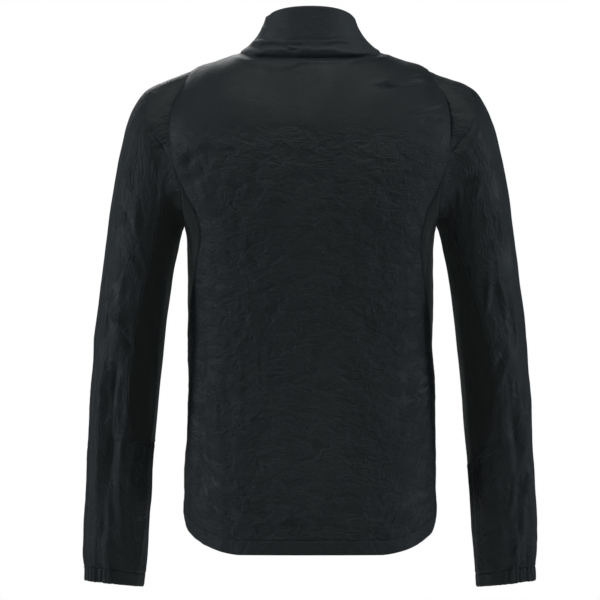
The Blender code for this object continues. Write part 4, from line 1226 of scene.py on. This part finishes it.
def make_sleeve(side, suffix):
    """Both pieces of a sleeve, from one grid: the under sleeve is its first columns, down to its end."""
    end = UNDER_SLEEVE_END[side]
    upper = dense_ends(0.0, end, 168, 0.45)
    stops = np.concatenate([upper, dense_ends(end, CUFF_ALONG, 62, 0.4)[1:]])
    seam = UNDER_SEAM(stops)
    back = (seam.left_back if side > 0 else seam.right_back)[:, None]
    front = seam.front[:, None]
    under = dense_ends(0, 1, UNDER_CELLS, 0.45)[None, :-1]
    rest = dense_ends(0, 1, REST_CELLS, 0.35)[None, :-1]
    turn = np.concatenate([-front + (back + front) * under, back + (360 - front - back) * rest], 1)
    along = stops[:, None] * np.ones_like(turn)
    points = sleeve(turn, along, side)
    flip = side < 0
    normals = grid_normals(points, True, flip)
    relief = sleeve_relief(points, normals, along, turn, side) + cuff_gathers(turn, along, 201 + side)
    relief = relief * smooth(along, 0.0, 0.12)
    last = len(upper) - 1
    lines = [
        points[: last + 1, 0],
        points[: last + 1, UNDER_CELLS],
        points[last, : UNDER_CELLS + 1],
        np.vstack([points[0], points[0, :1]]),
        np.vstack([points[-1], points[-1, :1]]),
    ]

    def is_under(i, j):
        return (i < last) & (j < UNDER_CELLS)

    level = 0.20 + 0.16 * noise(turn / 30, along * 2, 55) + 0.05 * smooth(along, 3, 5)
    crinkle = np.clip(level, 0.08, 1.0)
    u, v = cloth_lengths(points, True)
    wrinkled = 0.6 * crinkle * wrinkles(0.7 * v[:, :-1], u[:, :-1], 171 + side)
    calm = np.where(is_under(*np.indices(turn.shape)), 0.15, 1.0)  # the stretch cloth hardly wrinkles
    tuck = seam_tuck(points, lines, armhole_depth(points, 0.7), 181 + side)
    height = relief * (0.45 + 0.55 * calm) + wrinkled * calm + tuck
    moved = points + normals * height[..., None]
    name = f"sleeve_{suffix}"
    shell(name, cloth_mesh(name, moved, True, flip, lambda i, j: ~is_under(i, j), crinkle, turned=True))
    name = f"under_sleeve_{suffix}"
    shell(name, cloth_mesh(name, moved, True, flip, is_under, crinkle))
    facing = grid_normals(moved, True, flip)
    path = [(row, UNDER_CELLS) for row in range(2, last + 1)]
    path += [(last, column) for column in range(UNDER_CELLS - 1, -1, -1)]
    path += [(row, 0) for row in range(last - 1, 1, -1)]
    rows, columns = np.array(path).T
    FLATLOCK.append((moved[rows, columns] + 0.5 * facing[rows, columns], facing[rows, columns]))
    make_cuff(side, suffix)


def make_cuff(side, suffix):
    allowance = [CUFF_ALONG - 0.06, CUFF_ALONG - 0.025]  # rows inside the sleeve's end
    stops = np.concatenate([allowance, dense_ends(CUFF_ALONG, CUFF_END, 14, 0.3)])
    turn = np.linspace(0, 360, 201)[None, :-1] * np.ones((len(stops), 1))
    along = stops[:, None] * np.ones_like(turn)
    points = sleeve(turn, along, side)
    normals = grid_normals(points, True, side < 0)
    down = (along - CUFF_ALONG) * ROW_MM
    turned = -1.0 * np.exp(-(((19 - down) / 1.5) ** 2))
    relief = sleeve_relief(points, normals, along, turn, side)
    relief = relief + cuff_gathers(turn, along, 201 + side) + turned
    relief = relief - SEAM_ALLOWANCE_INSET * smooth(-down, 0.0, 2.0)
    moved, facing = finish_panel(
        f"cuff_{suffix}", points, relief, [np.vstack([points[2], points[2, :1]])], 191 + side,
        closed=True, flip=side < 0, stand=0.1, depth=0.35, crinkle=0.4 * np.ones_like(turn), geometry=0.3,
    )
    line, facing = grid_line(moved[2:], facing[2:], TOPSTITCH)
    stitch_line(np.vstack([line, line[:1]]), np.vstack([facing, facing[:1]]))


# ------------------------------------------------------------------ zip

TAPE_INNER, TAPE_OUTER, TAPE_INSET, TAPE_WALL = 3.2, 15.0, 1.7, 1.0
CHAIN_EDGES = (-2.5, 0.0, 2.5)  # across the chain, from edge to edge
TOOTH_PITCH, FIRST_TOOTH = 1.35, 6.6  # mm up the chain
ZIP_START, SLIDER_ROW, ZIP_TOP = 0.03, 0.86, 0.985
BELOW_SLIDER_ROW = 0.75  # the slider leans as the collar does between this row and its own
PIN_OUT, PIN_UP, PIN_RADIUS = 4.4, 2.0, 0.5
SLIDER_WIDTH, SLIDER_LENGTH, PLATE_WALL, PLATE_FACE = 8.4, 11.0, 1.0, 1.4
PULL_WIDTH, PULL_LENGTH, PULL_WALL = 5.2, 24.0, 1.2


def front_strip(xs, top=ZIP_TOP):
    """A grid up the front at distances xs from its centre, in mm, with its normals."""
    xs = np.asarray(xs, float)[None, :]

    def points_of(rings, form, rows):
        ring = rings(rows)
        width, power = ring.front_w[:, None], (ring.square / 2)[:, None]
        angle = -np.degrees(np.arccos((np.abs(xs) / width) ** power))
        angle = np.where(xs < 0, 180 - angle, angle)
        return form(angle, rows[:, None] * np.ones_like(angle))

    low = points_of(TORSO, torso, np.linspace(ZIP_START, NECK_ROW, 260))
    high = points_of(COLLAR, collar, np.linspace(0, top, 50)[1:])
    points = np.vstack([low, high])
    return points, grid_normals(points, False, False)


def chain_line():
    """Points up the middle of the chain, at most a quarter of a millimetre apart."""
    points, normals = front_strip(CHAIN_EDGES)
    inset = TAPE_INSET + TAPE_WALL / 2
    return refine_line((points[:, 0] + points[:, 2]) / 2 - normals[:, 1] * inset, 0.25)


def slider_frame():
    """The slider's own axes: across, inward and up the zip, placed from the pull's joint."""
    joint = Vector(frame["joints"][0]["pos_m"])
    points, _ = front_strip(CHAIN_EDGES, SLIDER_ROW)
    below, _ = front_strip(CHAIN_EDGES, BELOW_SLIDER_ROW)
    up = Vector(points[-1, 2] - below[-1, 2])
    up.x = 0.0
    up.normalize()
    across = Vector((1, 0, 0))
    inward = up.cross(across).normalized()
    axes = Matrix((across, inward, up)).transposed()
    centre = joint - axes @ Vector((0, -PIN_OUT, PIN_UP)) * MM
    return Matrix.Translation(centre) @ axes.to_4x4(), joint


def placed(bm, place):
    """A shape drawn in mm, in its place in metres."""
    bmesh.ops.scale(bm, vec=(MM, MM, MM), verts=bm.verts)
    bmesh.ops.transform(bm, matrix=place, verts=bm.verts)
    return bm


def round_rims(bm, axis, bevel):
    """Rounds the edges that lie square to an axis."""
    rims = [edge for edge in bm.edges if abs(edge.verts[0].co[axis] - edge.verts[1].co[axis]) < 1e-6]
    bmesh.ops.bevel(bm, geom=rims, offset=bevel, segments=2, affect="EDGES", profile=0.5)


def outline_mesh(outline, thickness, depth, bevel, place):
    """A flat plate of this outline in x and z, centred at a depth along y, with rounded edges. In mm."""
    bm = bmesh.new()
    base = bm.faces.new([bm.verts.new((x, depth - thickness / 2, z)) for x, z in outline])
    made = bmesh.ops.extrude_face_region(bm, geom=[base])
    moved = [item for item in made["geom"] if isinstance(item, bmesh.types.BMVert)]
    bmesh.ops.translate(bm, vec=(0, thickness, 0), verts=moved)
    bmesh.ops.recalc_face_normals(bm, faces=bm.faces)
    round_rims(bm, 1, bevel)
    return placed(bm, place)


def round_bar(radius, length, centre, place):
    """A round bar across the zip. In mm."""
    bm = bmesh.new()
    bmesh.ops.create_cone(bm, cap_ends=True, segments=20, radius1=radius, radius2=radius, depth=length)
    round_rims(bm, 2, 0.1)
    bmesh.ops.rotate(bm, cent=(0, 0, 0), matrix=Matrix.Rotation(pi / 2, 3, "Y"), verts=bm.verts)
    bmesh.ops.translate(bm, vec=centre, verts=bm.verts)
    return placed(bm, place)


def ring_bar(inner, outer, width, x, place, sides=28):
    """One cheek of the pull's eye: a flat ring round the pin. In mm."""
    bm = bmesh.new()
    loops = []
    for radius, offset in ((inner, -0.5), (inner, 0.5), (outer, 0.5), (outer, -0.5)):
        ring = []
        for k in range(sides):
            turn = 2 * pi * k / sides
            ring.append(bm.verts.new((x + offset * width, radius * np.cos(turn), radius * np.sin(turn))))
        loops.append(ring)
    for a, b in zip(loops, loops[1:] + loops[:1]):
        for k in range(sides):
            n = (k + 1) % sides
            bm.faces.new((a[k], a[n], b[n], b[k]))
    bmesh.ops.recalc_face_normals(bm, faces=bm.faces)
    return placed(bm, place)


def joined(name, shapes):
    mesh = bpy.data.meshes.new(name)
    whole = bmesh.new()
    for shape in shapes:
        part = bpy.data.meshes.new("part")
        shape.to_mesh(part)
        shape.free()
        whole.from_mesh(part)
        bpy.data.meshes.remove(part)
    whole.to_mesh(mesh)
    whole.free()
    mesh.shade_smooth()
    return mesh


HARD_EDGE = radians(40)  # an edge that bends more than this stays crisp


def sharp_edges(piece):
    """Keeps hard edges crisp under smooth shading."""
    mesh = piece.data
    bm = bmesh.new()
    bm.from_mesh(mesh)
    for edge in bm.edges:
        edge.smooth = not (edge.is_manifold and edge.calc_face_angle(0) > HARD_EDGE)
    bm.to_mesh(mesh)
    bm.free()


def rounded(points, radius, steps=4):
    """The outline with its corners rounded."""
    out = []
    count = len(points)
    for k in range(count):
        before, here, after = (np.array(points[(k + d) % count], float) for d in (-1, 0, 1))
        size = min(radius, np.linalg.norm(before - here) / 2.2, np.linalg.norm(after - here) / 2.2)
        a = here + (before - here) / np.linalg.norm(before - here) * size
        b = here + (after - here) / np.linalg.norm(after - here) * size
        for t in np.linspace(0, 1, steps):
            out.append(tuple((1 - t) ** 2 * a + 2 * t * (1 - t) * here + t * t * b))
    return out


def corners(left, right, low, high):
    return [(left, low), (right, low), (right, high), (left, high)]


def make_tapes():
    xs = np.linspace(TAPE_INNER, TAPE_OUTER, 9)
    edge = 0.35 * np.exp(-(((xs - TAPE_INNER) / 0.8) ** 2))
    for side, name in ((+1, "zip_tape_left"), (-1, "zip_tape_right")):
        points, normals = front_strip(xs)
        points = points - normals * (TAPE_INSET - edge)[None, :, None]
        if side < 0:
            points = points * np.array([-1, 1, 1])
        shell(name, cloth_mesh(name, points, False, side < 0))


# a tooth's outline in x and up: a wide foot on the tape and a narrower head past the centre
TOOTH = [
    (2.5, -0.85), (2.5, 0.85), (0.6, 0.62), (0.1, 0.95),
    (-0.75, 0.5), (-0.75, -0.5), (0.1, -0.95), (0.6, -0.62),
]
TOOTH_MIDDLE, TOOTH_HEIGHT = 0.9, 0.72  # its middle in x, and its height as a share of the outline's
TOOTH_LAYERS = ((-1.1, 0.8), (-0.7, 1.0), (0.7, 1.0), (1.1, 0.8))  # depth in mm, share of the outline


def tooth_faces(base, side):
    """Faces of one tooth, whose points are numbered from base, layer by layer."""
    size = len(TOOTH)
    faces = []
    for level in range(len(TOOTH_LAYERS) - 1):
        a, b = base + level * size, base + (level + 1) * size
        for m in range(size):
            n = (m + 1) % size
            faces.append((a + m, a + n, b + n, b + m) if side < 0 else (a + m, b + m, b + n, a + n))
    top_base = base + (len(TOOTH_LAYERS) - 1) * size
    bottom, top = [base + m for m in range(size)], [top_base + m for m in range(size)]
    faces.append(bottom[::-1] if side < 0 else bottom)
    faces.append(top if side < 0 else top[::-1])
    return faces


def make_teeth():
    """Moulded teeth, one on each tape in turn, up to the slider."""
    line = chain_line()
    steps = running_length(line)
    slider_z = slider_frame()[0].translation.z / MM
    last = steps[int(np.argmin(np.abs(line[:, 2] - slider_z)))] + 1.0
    verts, faces = [], []
    for k in range(int((last - FIRST_TOOTH) / TOOTH_PITCH)):
        i = int(np.searchsorted(steps, FIRST_TOOTH + k * TOOTH_PITCH))
        up = line[min(i + 3, len(line) - 1)] - line[max(i - 3, 0)]
        up = up / np.linalg.norm(up)
        out = np.cross([1, 0, 0], up)
        side = 1 if k % 2 else -1
        faces += tooth_faces(len(verts), side)
        for depth, shrink in TOOTH_LAYERS:
            for x, z in TOOTH:
                across = np.array([side * (TOOTH_MIDDLE + (x - TOOTH_MIDDLE) * shrink), 0, 0])
                verts.append((line[i] + across + up * z * shrink * TOOTH_HEIGHT + out * depth) * MM)
    mesh = bpy.data.meshes.new("zip_teeth")
    mesh.from_pydata([tuple(v) for v in verts], [], faces)
    bm = bmesh.new()
    bm.from_mesh(mesh)
    bmesh.ops.recalc_face_normals(bm, faces=bm.faces)
    bm.to_mesh(mesh)
    bm.free()
    add_piece("teeth", mesh, "moulded", ["zip_teeth"])


def make_bottom_box():
    line = chain_line()
    foot, above = Vector(line[0]) * MM, Vector(line[12]) * MM
    up = (above - foot).normalized()
    across = Vector((1, 0, 0))
    low = Matrix.Translation(foot) @ Matrix((across, up.cross(across), up)).transposed().to_4x4()
    box = rounded([(-2.5, 0), (2.5, 0), (2.5, 5.2), (1.6, 6.3), (-1.6, 6.3), (-2.5, 5.2)], 0.8)
    ridge = rounded(corners(-0.5, 0.5, 0.8, 5.0), 0.4)
    shapes = [outline_mesh(box, 3.0, 0.0, 0.3, low), outline_mesh(ridge, 0.5, -1.5, 0.12, low)]
    add_piece("bottom_box", joined("bottom_box", shapes), "moulded", ["zip_bottom_box"])


def make_stops(place):
    for side, name in ((+1, "zip_stop_left"), (-1, "zip_stop_right")):
        x, z = side * 1.6, SLIDER_LENGTH / 2 + 1.6
        shape = rounded(corners(x - 0.8, x + 0.8, z - 1.2, z + 1.2), 0.5)
        stop = joined(name, [outline_mesh(shape, 2.6, 0.0, 0.3, place)])
        add_piece(name.replace("zip_", "top_"), stop, "moulded", [name])


def make_slider(place):
    """Two plates on a post, with two lugs outside that hold the pull's pin."""
    half, waist, end = SLIDER_WIDTH / 2, SLIDER_WIDTH / 2 - 0.9, SLIDER_LENGTH / 2
    shield = [(-half, end - 1.6), (-half + 1.2, end), (-0.9, end), (0, end - 0.9), (0.9, end)]
    shield += [(half - 1.2, end), (half, end - 1.6), (half - 0.1, 1.0), (waist, -1.6), (waist, -end + 1.0)]
    shield += [(waist - 0.9, -end), (-waist + 0.9, -end), (-waist, -end + 1.0), (-waist, -1.6)]
    shield = rounded(shield + [(-half + 0.1, 1.0)], 0.7)
    middle = PLATE_FACE + PLATE_WALL / 2
    shapes = [outline_mesh(shield, PLATE_WALL, depth, 0.28, place) for depth in (-middle, middle)]
    post = rounded([(-1.6, 0.4), (0, 0.0), (1.6, 0.4), (1.2, 5.0), (-1.2, 5.0)], 0.4)
    shapes.append(outline_mesh(post, 2 * PLATE_FACE + 0.2, 0.0, 0.05, place))
    # a lug's outline lies fore and aft, so its plate is turned a quarter about the zip's line
    turned = place @ Matrix.Rotation(pi / 2, 4, "Z")
    crown, shoulder = -middle - (PIN_OUT + 1.1 - middle), -middle - 0.6
    arch = [(-middle, PIN_UP + 2.6), (-middle, PIN_UP - 4.0), (shoulder, PIN_UP - 3.6)]
    arch += [(crown, PIN_UP - 0.9), (crown, PIN_UP + 0.9), (shoulder, PIN_UP + 2.2)]
    for side in (-1, 1):
        shapes.append(outline_mesh(rounded(arch, 0.5), 0.8, -side * 1.9, 0.2, turned))
    shapes.append(round_bar(PIN_RADIUS, 4.2, (0, -PIN_OUT, PIN_UP), place))
    sharp_edges(add_piece("slider", joined("slider", shapes), "enamel", ["zip_slider"]))


def make_pull(joint):
    """A flat tab with ribs on both faces, hung by an eye of two cheeks."""
    hang = Matrix.Translation(joint)
    half, tip = PULL_WIDTH / 2, -PULL_LENGTH
    tab = [(-1.2, -1.0), (1.2, -1.0), (1.2, -4.4), (half, -6.6), (half, tip + 3.0), (half - 1.6, tip)]
    tab += [(-half + 1.6, tip), (-half, tip + 3.0), (-half, -6.6), (-1.2, -4.4)]
    shapes = [outline_mesh(rounded(tab, 1.2, 5), PULL_WALL, 0.0, 0.3, hang)]
    for face in (-1, 1):
        for k in range(5):
            z = tip + 4.2 + 1.9 * k
            rib = rounded(corners(-1.7, 1.7, z - 0.35, z + 0.35), 0.34)
            shapes.append(outline_mesh(rib, 0.5, face * PULL_WALL / 2, 0.12, hang))
    for x in (-0.9, 0.9):
        shapes.append(ring_bar(0.8, 1.5, 0.6, x, hang))
    pull = add_piece("pull_tab", joined("pull_tab", shapes), "enamel", ["zip_pull"], "pull_tab")
    sharp_edges(pull)


# ------------------------------------------------------------------ stitching

# rings along a stitch: share of its length, lift and radius in mm
STITCH_RINGS = ((0.0, -0.18, 0.10), (0.22, 0.04, 0.20), (0.78, 0.04, 0.20), (1.0, -0.18, 0.10))
STITCH_SIDES = 5


def stitch_faces(base):
    """Faces of one stitch, whose points are numbered from base, ring by ring."""
    faces = []
    for level in range(len(STITCH_RINGS) - 1):
        a, b = base + level * STITCH_SIDES, base + (level + 1) * STITCH_SIDES
        for k in range(STITCH_SIDES):
            n = (k + 1) % STITCH_SIDES
            faces.append((a + k, b + k, b + n, a + n))
    top = base + (len(STITCH_RINGS) - 1) * STITCH_SIDES
    faces.append([base + k for k in range(STITCH_SIDES)])
    faces.append([top + STITCH_SIDES - 1 - k for k in range(STITCH_SIDES)])
    return faces


def on_line(values, steps, where):
    return np.array([np.interp(where, steps, values[:, axis]) for axis in range(3)])


def make_stitching(name, lines, kind, length, gap, thick=1.0):
    """Stitches of this length, with this gap, along each line. thick widens them."""
    verts, faces = [], []
    for points, normals in lines:
        steps = running_length(points)
        for start in np.arange(0.5, steps[-1] - length, length + gap):
            first, out = on_line(points, steps, start), on_line(normals, steps, start)
            reach = on_line(points, steps, start + length) - first
            if np.linalg.norm(reach) < 0.5 * length:
                continue
            along = reach / np.linalg.norm(reach)
            out = out - along * (out @ along)
            out = out / np.linalg.norm(out)
            beside = np.cross(along, out)
            faces += stitch_faces(len(verts))
            for share, lift, radius in STITCH_RINGS:
                middle = first + reach * share + out * lift
                for k in range(STITCH_SIDES):
                    turn = 2 * pi * k / STITCH_SIDES
                    rim = np.cos(turn) * beside + np.sin(turn) * out
                    verts.append((middle + thick * radius * rim) * MM)
    mesh = bpy.data.meshes.new(name)
    mesh.from_pydata([tuple(v) for v in verts], [], faces)
    mesh.shade_smooth()
    add_piece(name, mesh, kind)


# ------------------------------------------------------------------ stage


def pale_floor():
    """A pale floor that looks lit, without throwing light up on the garment."""
    made = new_material("floor", (0.86, 0.86, 0.86), 0.9, specular=0.0)
    tree = made.node_tree
    glow, path = tree.nodes.new("ShaderNodeEmission"), tree.nodes.new("ShaderNodeLightPath")
    glow.inputs["Color"].default_value = (0.97, 0.98, 1.0, 1)
    glow.inputs["Strength"].default_value = 0.62
    both, mix = tree.nodes.new("ShaderNodeAddShader"), tree.nodes.new("ShaderNodeMixShader")
    plain = tree.nodes["Principled BSDF"].outputs[0]
    tree.links.new(plain, both.inputs[0])
    tree.links.new(glow.outputs[0], both.inputs[1])
    tree.links.new(path.outputs["Is Camera Ray"], mix.inputs[0])
    tree.links.new(plain, mix.inputs[1])
    tree.links.new(both.outputs[0], mix.inputs[2])
    tree.links.new(mix.outputs[0], tree.nodes["Material Output"].inputs["Surface"])
    return made


def make_floor():
    bm = bmesh.new()
    bmesh.ops.create_circle(bm, cap_ends=True, segments=96, radius=7.0)
    mesh = bpy.data.meshes.new("floor")
    bm.to_mesh(mesh)
    bm.free()
    floor = bpy.data.objects.new("floor", mesh)
    floor.location = (0, 0, -1.5)
    bpy.context.scene.collection.objects.link(floor)
    mesh.materials.append(pale_floor())


def area_light(name, place, aim, size, power, colour=(1, 1, 1)):
    data = bpy.data.lights.new(name, "AREA")
    data.shape = "RECTANGLE"
    data.size, data.size_y = size
    data.energy = power
    data.color = colour
    light = bpy.data.objects.new(name, data)
    light.location = place
    light.rotation_euler = (Vector(aim) - Vector(place)).to_track_quat("-Z", "Y").to_euler()
    bpy.context.scene.collection.objects.link(light)


SOFT_TINT, SIDE_TINT = (0.91, 0.99, 1.0), (0.79, 0.90, 1.0)  # colours of the light


def make_light():
    world = bpy.data.worlds.new("studio")
    bpy.context.scene.world = world
    world.use_nodes = True
    tree = world.node_tree
    seen = tree.nodes["Background"]
    seen.inputs["Color"].default_value = (1, 1, 1, 1)
    seen.inputs["Strength"].default_value = 1.0
    lit = tree.nodes.new("ShaderNodeBackground")
    lit.inputs["Color"].default_value = (*SOFT_TINT, 1)
    lit.inputs["Strength"].default_value = 0.06
    path, mix = tree.nodes.new("ShaderNodeLightPath"), tree.nodes.new("ShaderNodeMixShader")
    tree.links.new(path.outputs["Is Camera Ray"], mix.inputs[0])
    tree.links.new(lit.outputs[0], mix.inputs[1])
    tree.links.new(seen.outputs[0], mix.inputs[2])
    tree.links.new(mix.outputs[0], tree.nodes["World Output"].inputs["Surface"])
    middle = (0, 0, -0.35)
    area_light("top", (0, 0.6, 2.4), middle, (2.4, 2.0), 27, SOFT_TINT)
    area_light("behind_high", (-0.6, 3.2, 1.9), middle, (1.4, 0.8), 12, SOFT_TINT)
    area_light("front_high", (0.8, -3.2, 1.8), middle, (1.8, 1.0), 46)
    area_light("left", (3.2, 0.55, 0.4), middle, (0.4, 1.8), 36, SIDE_TINT)
    area_light("right", (-3.2, 0.55, 0.4), middle, (0.4, 1.8), 30, SIDE_TINT)
    bpy.context.scene.view_settings.view_transform = "Standard"


# ------------------------------------------------------------------ making

make_back()
make_fronts()
make_sides()
make_hem()
make_collar()
make_sleeve(+1, "left")
make_sleeve(-1, "right")
make_tapes()
make_teeth()
make_bottom_box()
slider_place, pull_joint = slider_frame()
make_stops(slider_place)
make_slider(slider_place)
make_pull(pull_joint)
make_stitching("stitching", STITCHES, "thread", 2.7, 0.8)
make_stitching("flatlock", FLATLOCK, "flatlock", 3.0, 0.3, 1.7)
make_floor()
make_light()

bpy.context.view_layer.update()
